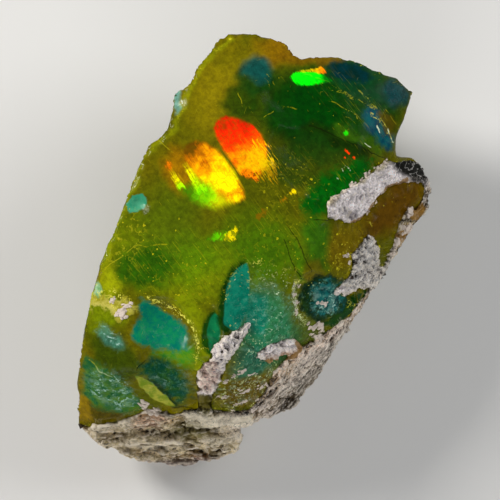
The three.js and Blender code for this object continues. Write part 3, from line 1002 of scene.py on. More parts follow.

# Where painted glints, bright flecks that stand in for highlights, are dusted on the clear face.
GLINTS = (
    Dusting(
        "scar ridge",
        Band(
            (
                (-7.75, -3.38), (-6.65, -3.99), (-5.43, -4.73), (-4.69, -5.34), (-4.26, -6.07),
                (-4.2, -7.3), (-4.32, -8.27),
            ),
            0.5,
        ),
        0.95,
    ),
    Dusting(
        "crescent edge",
        Band(((-0.63, -0.79), (-1.4, -1.27), (-1.88, -1.97), (-2.16, -2.87), (-2.3, -3.98)), 0.25), 0.55,
    ),
    Dusting("crescent tip", Spot((-0.2, -0.8), (0.8, 0.4)), 0.9),
    Dusting("crescent right", Band(((-0.57, -0.79), (-0.43, -2.04), (-0.57, -3.01)), 0.45), 0.5),
    Dusting("rough patch", Spot((-10.5, -3.5), (1.4, 0.7), -12), 0.95),
    Dusting("flank edge", Band(((8.6, 10.0), (9.4, 9.1), (10.05, 8.2)), 0.35), 0.95),
    Dusting("pocket rim", Band(((2.97, -2.38), (2.75, -3.26), (3.04, -4.36), (3.48, -5.09)), 0.5), 0.95),
    Dusting(
        "left outline",
        Band(
            (
                (-1.7, 15.7), (-3.6, 14.0), (-4.9, 11.4), (-6.3, 8.5), (-7.8, 7.4), (-9.6, 3.3),
                (-11.2, -1.1), (-11.8, -2.9),
            ),
            0.4,
        ),
        0.36,
    ),
    Dusting("left side", Spot((-9.6, 0.3), (1.6, 3.2), -20, 1.2), 0.35),
    Dusting("right lobe", Spot((6.9, -0.2), (2.0, 1.9), 0, 1.0), 0.4),
    Dusting("brown lobe", Spot((10.5, 3.3), (2.6, 1.2), 42, 1.0), 0.04),
    Dusting("below the fire", Spot((2.2, 5.0), (2.6, 2.8), 0, 1.2), 0.26),
    Dusting("beside the crescent", Spot((1.5, -2.0), (2.6, 1.6), 0, 1.2), 0.35),
    Dusting("great scar", Spot((0.6, -6.6), (2.2, 2.6), 0, 1.0), 0.3),
    Dusting("mid gold", Spot((0.8, 0.8), (3.4, 2.6), 0, 1.0), 0.22),
    Dusting("low gold", Spot((-5.6, -1.8), (4.4, 2.2), -10, 1.2), 0.25),
    Dusting("foot", Spot((-0.4, -10.2), (3.0, 1.6), 0, 1.0), 0.7),
)

MILK = (
    Dusting("great scar", Spot((1.0, -4.6), (2.5, 2.6), 14, 1.2), 0.75),
    Dusting("great foot", Spot((0.4, -7.2), (1.9, 1.9), 0, 1.0), 0.65),
    Dusting("pocket", Spot((5.15, -3.5), (1.3, 1.4), 0, 0.5), 1.0),
    Dusting("blade hollow", Spot((-6.3, -9.2), (2.2, 1.4), -30, 1.0), 0.35),
    Dusting("corner", Spot((-10.7, -10.0), (2.0, 1.3), -32, 0.6), 0.6),
    Dusting("vein", Spot((-10.6, -6.3), (1.3, 0.55), -40, 0.8), 1.0),
    Dusting("left scar", Spot((-6.3, -6.4), (1.7, 1.3), 0, 1.0), 0.3),
    Dusting("foot", Spot((-0.2, -9.8), (2.8, 1.6), 10, 0.8), 0.5),
)

VEINS = (
    Dusting("corner", Spot((-10.5, -10.2), (1.9, 1.1), -32, 0.8), 0.8),
    Dusting("vein", Spot((-10.54, -6.34), (1.1, 0.45), -40, 0.5), 1.0),
    Dusting("blade hollow", Spot((-6.2, -9.4), (1.4, 0.8), -30, 0.8), 0.25),
    Dusting("pocket", Spot((5.0, -3.7), (1.1, 1.0), 0, 0.6), 0.8),
)

FILM = (
    Dusting("foot", Spot((-0.7, -10.6), (2.7, 1.3), 14, 0.5), 0.56),
    Dusting("under the lens", Spot((1.4, -9.2), (1.8, 0.9), 24, 0.6), 0.5),
    Dusting("pocket", Spot((4.6, -5.8), (1.2, 0.9), 30, 0.5), 0.35),
    Dusting("pocket side", Spot((4.9, -3.6), (1.0, 0.7), 0, 0.6), 0.42),
    Dusting("pocket rim", Band(((2.95, -2.2), (2.7, -3.2), (3.0, -4.5)), 0.4), 0.75),
    Dusting("rind rim", Band(((-0.5, -11.6), (2.2, -8.9), (5.0, -6.7), (8.2, -3.1)), 0.6), 0.55),
    Dusting("rough patch", Spot((-10.9, -3.75), (1.5, 0.5), -6, 0.5), 0.42),
    Dusting("blade tip", Spot((-7.6, -11.7), (1.1, 0.35), -20, 0.5), 0.6),
    Dusting("by the splinter", Spot((-3.0, -10.4), (0.8, 1.2), 0, 0.7), 0.35),
    Dusting("lobe rim", Spot((8.6, 0.2), (0.7, 2.2), 0, 0.6), 0.3),
)

HACKLES = (
    Dusting("beside the fire", Spot((0.9, 6.4), (1.0, 1.5), -20, 1.0), 1.0),
    Dusting("right of the fire", Spot((2.2, 5.0), (2.0, 2.2), -20, 1.0), 0.8),
    Dusting("flap", Spot((6.3, 11.6), (2.6, 1.3), -35, 1.0), 0.5),
    Dusting("above the scar", Spot((-5.9, -2.6), (2.6, 1.6), -20, 1.0), 0.6),
    Dusting("below the scar", Spot((-4.6, -7.2), (0.6, 1.8), 0, 1.0), 0.6),
    Dusting("above the slab", Spot((6.7, 5.7), (0.8, 1.2), 0, 0.8), 0.9),
    Dusting("mid left", Spot((-4.6, -0.6), (4.0, 2.0), -10, 0.8), 0.75),
    Dusting("centre", Spot((1.8, 2.4), (2.6, 1.8), 0, 0.8), 0.75),
    Dusting("blotch", Spot((-7.6, -1.2), (1.6, 1.6), 0, 0.8), 0.9),
    Dusting("flank", Spot((8.0, 9.2), (1.8, 2.0), -40, 0.8), 0.55),
    Dusting("below the sheet", Spot((-1.3, 2.9), (1.7, 1.0), 0, 1.0), 0.5),
)

DUSTINGS = {"milk": MILK, "hackle": HACKLES, "vein": VEINS, "film": FILM}

DARK_LINES = (
    ((3.85, 9.22), (5.09, 8.85), (6.56, 8.04), (8.1, 7.38), (9.72, 6.65)),
    ((2.01, 0.78), (2.45, -0.1), (2.75, -1.28), (3.41, -2.09)),
    ((2.31, 1.88), (3.11, 0.63), (3.63, -0.54), (4.07, -1.5)),
    ((4.21, 2.25), (5.46, 2.32)),
    ((-7.99, -7.91), (-8.48, -8.4), (-8.67, -8.76)),
    ((-6.16, -11.58), (-5.43, -11.46), (-4.2, -11.58), (-2.98, -11.21)),
)

# Bright gold lines along ridges, drawn as painted glints.
GOLD_LINES = (
    ((-7.9, -3.3), (-7.0, -3.75), (-5.9, -4.35), (-5.0, -5.0), (-4.4, -5.8), (-4.25, -7.0), (-4.35, -8.3)),
    ((-6.6, -3.6), (-5.4, -4.4), (-4.6, -5.2)),
    ((2.95, -2.2), (2.7, -3.2), (3.0, -4.4), (3.5, -5.2)),
)

# Short bright dashes, drawn as painted highlights.
SPARKS = (
    ((8.03, 7.86), (8.47, 7.57)),
    ((6.53, 6.21), (6.86, 5.84)),
    ((6.25, 6.02), (6.52, 5.66)),
    ((5.98, 5.4), (6.32, 5.05)),
    ((9.62, 9.0), (9.82, 8.5)),
    ((8.8, 9.25), (9.05, 8.7)),
    ((9.98, 8.3), (10.12, 8.0)),
    ((-8.42, 6.5), (-8.2, 6.2)),
    ((-5.5, 11.0), (-5.35, 10.75)),
    ((-9.6, 3.6), (-9.35, 3.4)),
    ((-1.7, -2.2), (-1.55, -2.0)),
)

PALE_LINES = (
    ((-12.2, -7.9), (-11.3, -8.75), (-10.5, -9.2)),
    ((-11.0, -1.2), (-8.8, 0.35), (-6.4, 0.5)),
    ((3.63, 13.03), (5.46, 12.3), (6.93, 11.42), (8.1, 10.83), (8.84, 10.32)),
    ((5.46, 11.85), (6.44, 11.54), (7.17, 11.05)),
    ((7.5, 11.7), (8.3, 11.0), (9.0, 10.4)),
    ((9.1, 9.7), (9.5, 9.1), (9.8, 8.6), (10.05, 8.25)),
    ((9.5, 10.4), (9.9, 9.9), (10.3, 9.4)),
    ((5.34, 11.0), (6.07, 10.7), (6.81, 10.2)),
    ((6.9, 10.3), (7.3, 9.9), (7.6, 9.4)),
    ((6.5, 9.9), (6.9, 9.75), (7.3, 9.3)),
    ((0.8, 12.9), (1.1, 12.6), (1.35, 12.1)),
    ((0.6, 12.6), (0.85, 12.3), (1.0, 11.9)),
    ((-1.3, 11.6), (-1.1, 11.1), (-1.0, 10.8)),
    ((0.6, 9.6), (0.9, 9.9), (1.3, 10.2)),
    ((-7.24, 8.12), (-6.65, 7.68), (-6.13, 7.24)),
    ((1.79, 10.56), (2.4, 10.44), (3.01, 10.38)),
)


class DrawnLine(Enum):
    """The sets of drawn lines on the clear face."""

    DARK = DARK_LINES
    PALE = PALE_LINES
    GOLD = GOLD_LINES
    SPARK = SPARKS

    @property
    def side(self) -> str:
        """The name of the number that holds how far to the side of a line a point is."""
        return self.name.lower() + "_side"

    @property
    def past(self) -> str:
        """The name of the number that holds how far past a line's end a point is."""
        return self.name.lower() + "_past"


@dataclass(frozen=True)
class FireGrit:
    """The noises that break up every flash."""

    where: Socket
    cloud: Socket
    streaks: Socket
    grains: Socket

    @classmethod
    def of(cls, sheet: NodeSheet) -> "FireGrit":
        """Lays the noises out in a material.

        Args:
            sheet: The material.

        Returns:
            The noises, and the unsteady place that they are looked up at.
        """
        where = sheet.tossed(1.2, 0.25)
        return cls(
            where=where,
            cloud=sheet.noise(0.9, 4.0, 0.6, where),
            streaks=sheet.noise(1.0, 3.0, 0.6, sheet.mapped((1.3, 0.1, 1.0), -57, at=where)),
            grains=sheet.cells(5.5, where).outputs["Color"],
        )


@dataclass(frozen=True)
class Flash:
    """A patch of fire: spectral colour that runs along one direction."""

    name: str
    corners: Line
    centre: Place
    reach: float
    run: float
    stops: tuple[tuple[float, Colour], ...]
    ragged: float = 0.5
    soft: float = 0.15
    speckle: float = 0.35

    @property
    def mark(self) -> str:
        """The name of the number that holds the distance to its edge."""
        return "fire_" + self.name.replace(" ", "_")

    def light(self, sheet: NodeSheet, grit: FireGrit) -> tuple[Socket, Socket]:
        """Works out the flash's colour and how much of it shows.

        Args:
            sheet: The material that it is drawn in.
            grit: The noises that all flashes share.

        Returns:
            The colour and the mask.
        """
        half = (self.reach, self.reach, self.reach)
        local = sheet.mapped(half, self.run, (*self.centre, 0.0), grit.where)
        split = sheet.add("ShaderNodeSeparateXYZ", {0: local})
        share = sheet.plus(sheet.times(split.outputs["X"], 0.5), 0.5)
        share = sheet.plus(share, sheet.rescale(grit.cloud, 0.25, 0.75, -0.16, 0.16))
        share = sheet.plus(share, sheet.rescale(grit.streaks, 0.3, 0.7, -0.04, 0.04))
        fray = sheet.rescale(grit.streaks, 0.3, 0.7, -self.ragged / 2, self.ragged / 2)
        mask = sheet.rescale(sheet.plus(sheet.mark(self.mark), fray), self.soft, -self.soft)
        grains = sheet.rescale(grit.grains, 0.2, 0.8, 1 - self.speckle, 1 + self.speckle)
        return sheet.steps(share, self.stops), sheet.times(mask, grains)


RED, SCARLET, ORANGE = shade(255, 16, 0), shade(255, 70, 0), shade(255, 128, 0)
GOLD, YELLOW, LIME, GREEN = shade(255, 190, 0), shade(255, 250, 0), shade(130, 255, 0), shade(0, 255, 10)
EMBER = shade(160, 84, 0)

FLASHES = (
    Flash(
        "oval",
        (
            (-3.08, 8.97), (-2.85, 9.53), (-2.17, 9.88), (-1.26, 9.65), (-0.12, 9.1), (0.44, 8.42),
            (0.8, 7.38), (0.8, 6.24), (0.46, 5.5), (0.1, 5.05), (-0.45, 5.27), (-1.15, 5.6), (-1.7, 6.4),
            (-2.25, 7.2), (-2.75, 8.1),
        ),
        (-1.1, 7.4), 2.6, -74,
        (
            (0.0, shade(180, 16, 0)), (0.08, shade(214, 6, 0)), (0.22, shade(244, 8, 0)),
            (0.34, shade(250, 36, 0)), (0.44, shade(255, 78, 0)), (0.53, shade(255, 112, 0)),
            (0.63, shade(255, 152, 0)), (0.73, shade(255, 188, 0)), (0.82, shade(250, 168, 0)),
            (0.9, ORANGE), (0.98, shade(130, 66, 0)),
        ),
        ragged=0.1, soft=0.14, speckle=0.22,
    ),
    Flash(
        "fan", ((-0.2, 7.6), (0.5, 7.5), (1.4, 6.0), (1.35, 5.3), (0.7, 5.4), (0.0, 6.4)), (0.6, 6.4), 1.4,
        -57, ((0.1, GOLD), (0.5, shade(230, 190, 0)), (0.9, shade(170, 130, 0))), ragged=1.3, soft=0.1,
        speckle=0.4,
    ),
    Flash(
        "sheet",
        (
            (-5.13, 7.75), (-4.4, 8.05), (-3.75, 7.94), (-2.95, 7.45), (-2.3, 6.78), (-1.72, 5.95),
            (-1.24, 5.06), (-0.9, 4.3), (-0.85, 3.8), (-1.5, 3.5), (-2.48, 3.6), (-3.41, 4.5), (-4.34, 5.5),
            (-5.0, 6.3), (-5.3, 7.05),
        ),
        (-2.9, 5.55), 3.2, -46,
        (
            (0.06, shade(96, 60, 0)), (0.22, shade(190, 104, 0)), (0.36, shade(255, 164, 0)),
            (0.46, shade(255, 206, 0)), (0.55, shade(255, 242, 0)), (0.68, YELLOW),
            (0.75, shade(250, 205, 0)), (0.84, shade(236, 140, 0)), (0.94, shade(140, 80, 0)),
        ),
        ragged=0.12, soft=0.2, speckle=0.1,
    ),
    Flash(
        "lime",
        (
            (-5.7, 4.75), (-4.65, 4.9), (-3.41, 4.9), (-2.48, 4.1), (-1.9, 3.5), (-2.79, 3.15),
            (-4.03, 3.5), (-5.3, 4.1),
        ),
        (-3.5, 4.0), 1.6, -20,
        (
            (0.05, shade(50, 120, 0)), (0.3, shade(96, 188, 0)), (0.55, shade(148, 220, 0)),
            (0.75, shade(188, 232, 0)), (0.92, shade(200, 206, 0)),
        ),
        ragged=0.16, soft=0.45, speckle=0.12,
    ),
    Flash(
        "streak one", ((-6.3, 6.2), (-5.89, 5.7), (-5.2, 4.65), (-5.55, 4.5), (-6.05, 5.26)), (-5.7, 5.3),
        1.0, -57, ((0.2, shade(200, 180, 0)), (0.6, YELLOW), (0.9, LIME)), ragged=0.25, soft=0.18,
        speckle=0.4,
    ),
    Flash(
        "streak two", ((-5.1, 6.3), (-4.5, 5.7), (-3.5, 4.5), (-4.2, 4.3), (-4.75, 5.19)), (-4.3, 5.2), 1.2,
        -57, ((0.1, YELLOW), (0.5, shade(200, 250, 0)), (0.9, LIME)), ragged=0.3, soft=0.22, speckle=0.35,
    ),
    Flash(
        "orange edge", ((-6.43, 6.61), (-6.08, 6.27), (-6.2, 5.78), (-6.54, 6.12)), (-6.3, 6.2), 0.6, -90,
        ((0.2, ORANGE), (0.9, EMBER)), ragged=0.15, soft=0.15,
    ),
    Flash(
        "bar",
        (
            (2.71, 12.4), (3.26, 12.13), (3.99, 12.13), (4.97, 12.28), (5.58, 12.46), (4.97, 12.89),
            (4.36, 13.13), (3.5, 13.16), (2.83, 13.07), (2.53, 12.77),
        ),
        (4.0, 12.6), 1.5, 180, ((0.1, shade(0, 120, 6)), (0.4, GREEN), (1.0, GREEN)), ragged=0.12, soft=0.1,
        speckle=0.1,
    ),
    Flash(
        "bar rim",
        (
            (3.38, 13.11), (4.24, 13.13), (4.73, 13.01), (5.16, 13.07), (5, 13.35), (4.7, 13.52),
            (4.42, 13.35), (3.63, 13.28), (2.95, 13.16),
        ),
        (4.1, 13.2), 1.1, 0, ((0.1, shade(170, 200, 0)), (0.7, GOLD), (0.95, ORANGE)), ragged=0.1,
        soft=0.08, speckle=0.2,
    ),
    Flash(
        "dot", ((6.38, 8.6), (6.6, 8.42), (6.8, 8.6), (6.62, 8.86)), (6.6, 8.6), 1.0, 0,
        ((0.0, GREEN), (1.0, GREEN)), ragged=0.05, soft=0.1,
    ),
    Flash(
        "flecks", ((6.42, 7.42), (6.56, 7.5), (6.95, 7.12), (6.8, 7.02)), (6.6, 7.2), 1.0, 0,
        ((0.0, RED), (1.0, SCARLET)), ragged=0.05, soft=0.04,
    ),
    Flash(
        "fleck two", ((6.38, 6.86), (6.52, 6.92), (6.62, 6.78), (6.46, 6.7)), (6.6, 7.2), 1.0, 0,
        ((0.0, RED), (1.0, SCARLET)), ragged=0.05, soft=0.04,
    ),
    Flash(
        "fleck three", ((7.0, 6.92), (7.14, 6.96), (7.32, 6.74), (7.16, 6.7)), (6.6, 7.2), 1.0, 0,
        ((0.0, RED), (1.0, SCARLET)), ragged=0.05, soft=0.04,
    ),
    Flash(
        "gold fleck", ((2.42, 4.2), (2.7, 4.55), (2.98, 4.3), (2.8, 4.12)), (2.67, 4.3), 1.0, 0,
        ((0.0, GOLD), (1.0, YELLOW)), ragged=0.15, soft=0.06,
    ),
    Flash(
        "brown fleck", ((1.75, 3.6), (2.1, 3.95), (2.3, 3.8), (2.0, 3.5)), (2.0, 3.7), 1.0, 0,
        ((0.0, shade(96, 74, 0)), (1.0, shade(170, 120, 0))), ragged=0.25, soft=0.12, speckle=0.7,
    ),
    Flash(
        "brown run", ((-0.1, 2.4), (0.5, 3.0), (0.95, 2.95), (0.7, 2.6), (0.2, 2.3)), (0.4, 2.7), 1.0, 0,
        ((0.0, shade(96, 74, 0)), (1.0, shade(130, 96, 0))), ragged=0.25, soft=0.14, speckle=0.7,
    ),
    Flash(
        "green run", ((-3.6, 0.85), (-2.9, 1.35), (-2.1, 1.4), (-2.3, 0.95), (-3.0, 0.75)), (-2.8, 1.1),
        1.0, 0, ((0.0, shade(50, 110, 0)), (0.5, shade(90, 190, 0)), (1.0, shade(130, 200, 0))), ragged=0.2,
        soft=0.2, speckle=0.6,
    ),
    Flash(
        "yellow run", ((-2.3, 0.75), (-2.2, 1.2), (-1.5, 1.7), (-1.35, 1.4), (-1.6, 0.8)), (-1.8, 1.2), 1.0,
        0, ((0.0, shade(190, 190, 0)), (0.6, shade(235, 215, 0)), (1.0, shade(190, 130, 0))), ragged=0.2,
        soft=0.12, speckle=0.7,
    ),
)


@dataclass(frozen=True)
class OpalFinish:
    """See-through olive-amber opal with zones of green, teal and brown, and flashes of fire.

    Its nodes are made and merged in the order of use, and have to stay so: made with all glints
    and the gold before the rest, the ground renders black.
    """

    name: str = "clear_opal"
    fire_strength: float = 0.85
    painted_glow: float = 0.3
    refraction: float = 1.45
    mirroring: float = 0.2
    clearness: float = 0.3
    inside: Colour = (0.6, 0.52, 0.03)
    inside_density: float = 900.0
    milk: Colour = shade(110, 172, 150)
    crack: Colour = shade(14, 26, 0)
    dull_gold: Colour = shade(190, 180, 18)
    bright_gold: Colour = shade(248, 240, 90)
    pale_glint: Colour = shade(196, 236, 214)
    vein: Colour = shade(168, 206, 190)
    spark: Colour = shade(236, 246, 206)
    dark_chalk: Colour = shade(92, 88, 56)
    light_chalk: Colour = shade(206, 208, 190)

    def flecks(self, sheet: NodeSheet, size: float, density: Feed) -> Socket:
        """Scatters small bright dots, which are painted glints.

        Args:
            sheet: The material.
            size: How many cells there are to a millimetre.
            density: The share of the cells that hold a dot.

        Returns:
            Up to 1 on a dot and 0 off it.
        """
        node = sheet.cells(size, sheet.tossed(5.0, 0.25))
        split = sheet.add("ShaderNodeSeparateColor", {0: node.outputs["Color"]})
        rare = sheet.number("SUBTRACT", 1.0, density)
        chosen = sheet.number("GREATER_THAN", split.outputs[0], rare)
        radius = sheet.rescale(split.outputs[1], 0.0, 1.0, 0.1, 0.34)
        near = sheet.number("LESS_THAN", node.outputs["Distance"], radius)
        return sheet.times(sheet.times(chosen, near), sheet.rescale(split.outputs[2], 0, 1, 0.3, 1))

    def lines(self, sheet: NodeSheet, kind: DrawnLine, width: float) -> Socket:
        """Returns 1 on the drawn lines of one kind and 0 off them."""
        reach = sheet.plus(sheet.number("ABSOLUTE", sheet.mark(kind.side)), sheet.mark(kind.past))
        return sheet.rescale(reach, width, width * 0.3)

    def hairs(self, sheet: NodeSheet) -> Socket:
        """Scatters sparse straight hairlines in three directions.

        Args:
            sheet: The material.

        Returns:
            1 on a hairline and 0 off it.
        """
        marks = []
        for turn, shift in ((-52.0, 0.0), (18.0, 5.0), (74.0, 11.0)):
            along = sheet.mapped((1.1, 0.05, 0.6), turn, (shift, shift, 0))
            marks.append(sheet.rescale(sheet.noise(1.0, 1.0, 0.5, along), 0.765, 0.8))
        return sheet.most(*marks)

    def hackles(self, sheet: NodeSheet) -> Socket:
        """Returns 1 on fine parallel lines and 0 off them."""
        lines = sheet.noise(1.0, 2.0, 0.5, sheet.mapped((1.3, 0.07, 1.0), -52))
        return sheet.times(sheet.rescale(lines, 0.6, 0.7), sheet.mark("hackle"))

    def veins(self, sheet: NodeSheet) -> Socket:
        """Draws bent milky streaks, each with a soft side.

        Args:
            sheet: The material.

        Returns:
            How much vein shows.
        """
        bent = sheet.mapped((1.25, 0.62, 0.9), -34, at=sheet.tossed(0.7, 0.9))
        streaks = sheet.noise(1.0, 4.0, 0.58, bent)
        broken = sheet.rescale(sheet.noise(1.1, 4.0, 0.65, sheet.shifted((2.0, 8.0, 1.0))), 0.49, 0.6)
        crisp = sheet.times(sheet.rescale(sheet.off(streaks, 0.53), 0.036, 0.01, 0.0, 0.95), broken)
        soft = sheet.rescale(streaks, 0.53, 0.68, 0.0, 0.32)
        return sheet.times(sheet.most(crisp, soft), sheet.mark("vein"))

    def squiggles(self, sheet: NodeSheet) -> Socket:
        """Draws short curled lines among the glints.

        Args:
            sheet: The material.

        Returns:
            1 on a line and 0 off it.
        """
        line = sheet.rescale(sheet.off(sheet.noise(2.2, 2.0, 0.5), 0.5), 0.05, 0.015)
        broken = sheet.rescale(sheet.noise(1.9, 3.0, 0.65, sheet.shifted((7.0, 3.0, 5.0))), 0.5, 0.6)
        dense = sheet.rescale(sheet.mark("glint"), 0.04, 0.5)
        return sheet.times(sheet.times(line, broken), dense)

    def film(self, sheet: NodeSheet) -> Socket:
        """Spreads the film of rock that clings to the opal.

        Args:
            sheet: The material.

        Returns:
            1 on the film and 0 where the opal is bare.
        """
        flakes = sheet.noise(1.0, 7.0, 0.76, sheet.mapped((0.42, 0.34, 0.4), 22, (3.0, 1.0, 0)))
        bare = sheet.rescale(sheet.mark("film"), 0.0, 1.0, 0.8, 0.44)
        return sheet.rescale(sheet.number("SUBTRACT", flakes, bare), -0.008, 0.012)

    def ground(self, sheet: NodeSheet) -> Socket:
        """Works out the colour below the glints: mottled zones, patches, milk and cracks.

        Args:
            sheet: The material.

        Returns:
            The colour.
        """
        mottle = sheet.rescale(sheet.noise(2.2, 7.0, 0.75), 0.25, 0.75, 0.62, 1.42)
        streak = sheet.noise(1.0, 4.0, 0.6, sheet.mapped((1.4, 0.1, 1.0), -57))
        mottle = sheet.times(mottle, sheet.rescale(streak, 0.3, 0.7, 0.95, 1.05))
        colour = sheet.dimmed(sheet.tint(), mottle)
        cloud = sheet.noise(1.6, 4.0, 0.65)
        for patch in PATCHES:
            colour = patch.lay(sheet, cloud, colour)
        milk = sheet.times(sheet.rescale(sheet.noise(2.6, 8.0, 0.82), 0.5, 0.66), sheet.mark("milk"))
        colour = sheet.blend(sheet.times(milk, 0.7), colour, self.milk)
        return sheet.blend(sheet.times(self.lines(sheet, DrawnLine.DARK, 0.06), 0.7), colour, self.crack)

    def shine(self, sheet: NodeSheet, glint: Socket) -> Socket:
        """Gathers the painted glints: flecks, hairlines, squiggles, drawn lines and hackles.

        Args:
            sheet: The material.
            glint: How densely each place is dusted with flecks.

        Returns:
            How much of each place glints.
        """
        shine = self.flecks(sheet, 6.0, sheet.times(glint, 0.5))
        shine = sheet.most(shine, self.flecks(sheet, 3.2, sheet.times(glint, 0.22)))
        shine = sheet.most(shine, sheet.times(self.hairs(sheet), 0.42))
        shine = sheet.most(shine, sheet.times(self.squiggles(sheet), 0.5))
        broken = sheet.rescale(sheet.noise(2.4, 4.0, 0.7), 0.38, 0.52)
        pale = sheet.times(self.lines(sheet, DrawnLine.PALE, 0.05), broken)
        shine = sheet.most(shine, sheet.times(pale, 0.5))
        crumbled = sheet.rescale(sheet.noise(5.0, 4.0, 0.75), 0.48, 0.6)
        golden = sheet.times(self.lines(sheet, DrawnLine.GOLD, 0.16), crumbled)
        shine = sheet.most(shine, sheet.times(golden, 0.95))
        return sheet.most(shine, sheet.times(self.hackles(sheet), 0.35))

    def body(self, sheet: NodeSheet) -> tuple[Socket, Socket]:
        """Works out the body's colour.

        Args:
            sheet: The material.

        Returns:
            The colour, and how much of the rock film covers each place.
        """
        colour = self.ground(sheet)
        glint = sheet.mark("glint")
        shine = self.shine(sheet, glint)
        gold = sheet.blend(sheet.rescale(glint, 0.25, 0.8), self.dull_gold, self.bright_gold)
        bright = sheet.blend(sheet.mark("milk"), gold, self.pale_glint)
        colour = sheet.blend(self.veins(sheet), colour, self.vein)
        # Painted highlights: the glints are laid into the base colour in gold and pale colours.
        colour = sheet.blend(sheet.times(shine, 0.9), colour, bright)
        # Painted highlights: short pale dashes laid into the base colour.
        uneven = sheet.rescale(sheet.noise(4.5, 3.0, 0.7), 0.4, 0.6, 0.25, 0.95)
        spark = sheet.times(self.lines(sheet, DrawnLine.SPARK, 0.055), uneven)
        colour = sheet.blend(spark, colour, self.spark)
        film = self.film(sheet)
        chalk = sheet.rescale(sheet.noise(3.7, 5.0, 0.8), 0.38, 0.62)
        chalk = sheet.blend(chalk, self.dark_chalk, self.light_chalk)
        return sheet.blend(film, colour, chalk), film

    def fire(self, sheet: NodeSheet) -> tuple[Socket, Feed]:
        """Works out the light of all the flashes.

        Args:
            sheet: The material.

        Returns:
            The light, and how much of the body it hides.
        """
        grit = FireGrit.of(sheet)
        light: Feed = (0.0, 0.0, 0.0)
        cover: Feed = 0.0
        for flash in FLASHES:
            colour, mask = flash.light(sheet, grit)
            light = sheet.blend(sheet.number("MINIMUM", mask, 1.0), light, colour)
            cover = sheet.most(cover, mask)
        rings = sheet.cells(1.5, sheet.tossed(1.5, 0.5), "DISTANCE_TO_EDGE").outputs["Distance"]
        rings = sheet.rescale(rings, 0.05, 0.012, 0.0, 0.3)
        light = sheet.blend(rings, light, sheet.blend(1.0, light, (0.9, 0.2, 0.1), "MULTIPLY"))
        return light, sheet.number("MINIMUM", cover, 1.0)

    def relief(self, sheet: NodeSheet, film: Feed) -> Socket:
        """Bends the normal by fine scratches, grit and the film of rock.

        Args:
            sheet: The material.
            film: How much of the rock film covers each place.

        Returns:
            The bent normal.
        """
        scratches = sheet.noise(1.0, 3.0, 0.6, sheet.mapped((1.8, 0.1, 1.0), -50))
        normal = sheet.bump(scratches, 0.04, 0.2)
        normal = sheet.bump(sheet.noise(4.0, 6.0, 0.7), 0.05, 0.15, normal)
        return sheet.bump(film, 0.04, 0.6, normal)

    def make(self) -> bpy.types.Material:
        """Builds the finish.

        Returns:
            The material.
        """
        sheet = NodeSheet(self.name)
        body, film = self.body(sheet)
        fire, cover = self.fire(sheet)
        body = sheet.blend(sheet.times(cover, 0.85), body, sheet.vector("SCALE", fire, factor=0.35))
        # Painted light: the body glows with a share of its own colour and the fire with its own colours,
        # though neither is a lamp.
        glow = sheet.vector("SCALE", body, factor=self.painted_glow)
        light = sheet.vector("ADD", glow, sheet.vector("SCALE", fire, factor=self.fire_strength))
        rough = sheet.rescale(sheet.noise(1.3, 4.0), 0.3, 0.7, 0.06, 0.16)
        feeds = {"Base Color": body, "Roughness": rough, "IOR": self.refraction}
        feeds |= {"Specular IOR Level": self.mirroring, "Transmission Weight": self.clearness}
        feeds |= {"Emission Color": light, "Emission Strength": 1.0}
        feeds |= {"Normal": self.relief(sheet, film)}
        shader = sheet.add("ShaderNodeBsdfPrincipled", feeds)
        inner = sheet.add(
            "ShaderNodeVolumeAbsorption", {"Color": self.inside, "Density": self.inside_density}
        )
        sheet.feed(sheet.output.inputs["Surface"], shader.outputs[0])
        sheet.feed(sheet.output.inputs["Volume"], inner.outputs[0])
        return sheet.material


# ---- the rock's finish


LILAC, CREAM, TAN = shade(240, 230, 228), shade(206, 188, 150), shade(156, 139, 104)
OCHRE, RUST = shade(128, 112, 72), shade(158, 104, 40)

BEDDING = (
    (-12.6, -13.0), (-8.0, -12.4), (-4.0, -12.4), (-0.5, -11.6), (2.5, -9.2), (8.6, -3.2), (11.0, 0.0),
    (12.8, 4.3),
)

SLABS = (
    (
        (5.2, 2.6), (5.2, 3.6), (6.8, 4.7), (8.8, 6.0), (9.8, 6.8), (12.6, 6.6), (13.4, 4.4), (12.2, 4.4),
        (11.0, 5.1), (9.6, 4.6), (8.2, 2.6), (7.2, 2.0), (6.0, 2.2),
    ),
    (
        (8.2, 1.3), (9.0, 0.3), (9.0, -1.2), (9.2, -1.7), (8.2, -2.6), (6.0, -3.4), (5.6, -3.0),
        (6.8, -1.8), (6.9, -0.2),
    ),
    (
        (-0.3, -5.0), (-2.2, -8.4), (-3.3, -10.6), (-3.5, -12.0), (-4.3, -12.0), (-4.2, -8.4), (-3.1, -7.8),
        (-3.1, -7.0),
    ),
    ((-0.1, -7.7), (1.2, -6.7), (2.7, -6.4), (3.3, -7.3), (2.1, -7.7), (0.6, -8.3)),
)

RUSTS = (
    Dusting("slab rim", Band(((6.4, 4.6), (8.5, 6.0), (10.0, 6.8)), 0.3), 0.5),
    Dusting("slab side", Band(((7.2, 2.0), (8.2, 2.55), (8.9, 3.5), (9.6, 4.55), (11.0, 5.1)), 0.5), 0.95),
    Dusting("lens rim", Band(((0.3, -8.2), (1.4, -8.1), (2.6, -7.8), (3.3, -7.3), (3.0, -6.6)), 0.36), 0.9),
    Dusting("shoulder end", Spot((11.9, 2.9), (0.9, 0.7), 40, 0.8), 0.7),
    Dusting("shoulder low", Spot((10.6, 0.9), (0.7, 0.6), 40, 0.8), 0.6),
    Dusting("second slab", Band(((8.4, 1.2), (9.0, 0.5), (9.1, -1.0)), 0.25), 0.5),
)

OLIVES = (
    Dusting("splinter foot", Spot((-3.8, -11.15), (0.75, 0.7), 0, 0.3), 0.95),
    Dusting("lobe", Spot((-4.8, -13.2), (1.5, 0.8), 0, 0.8), 0.35),
)

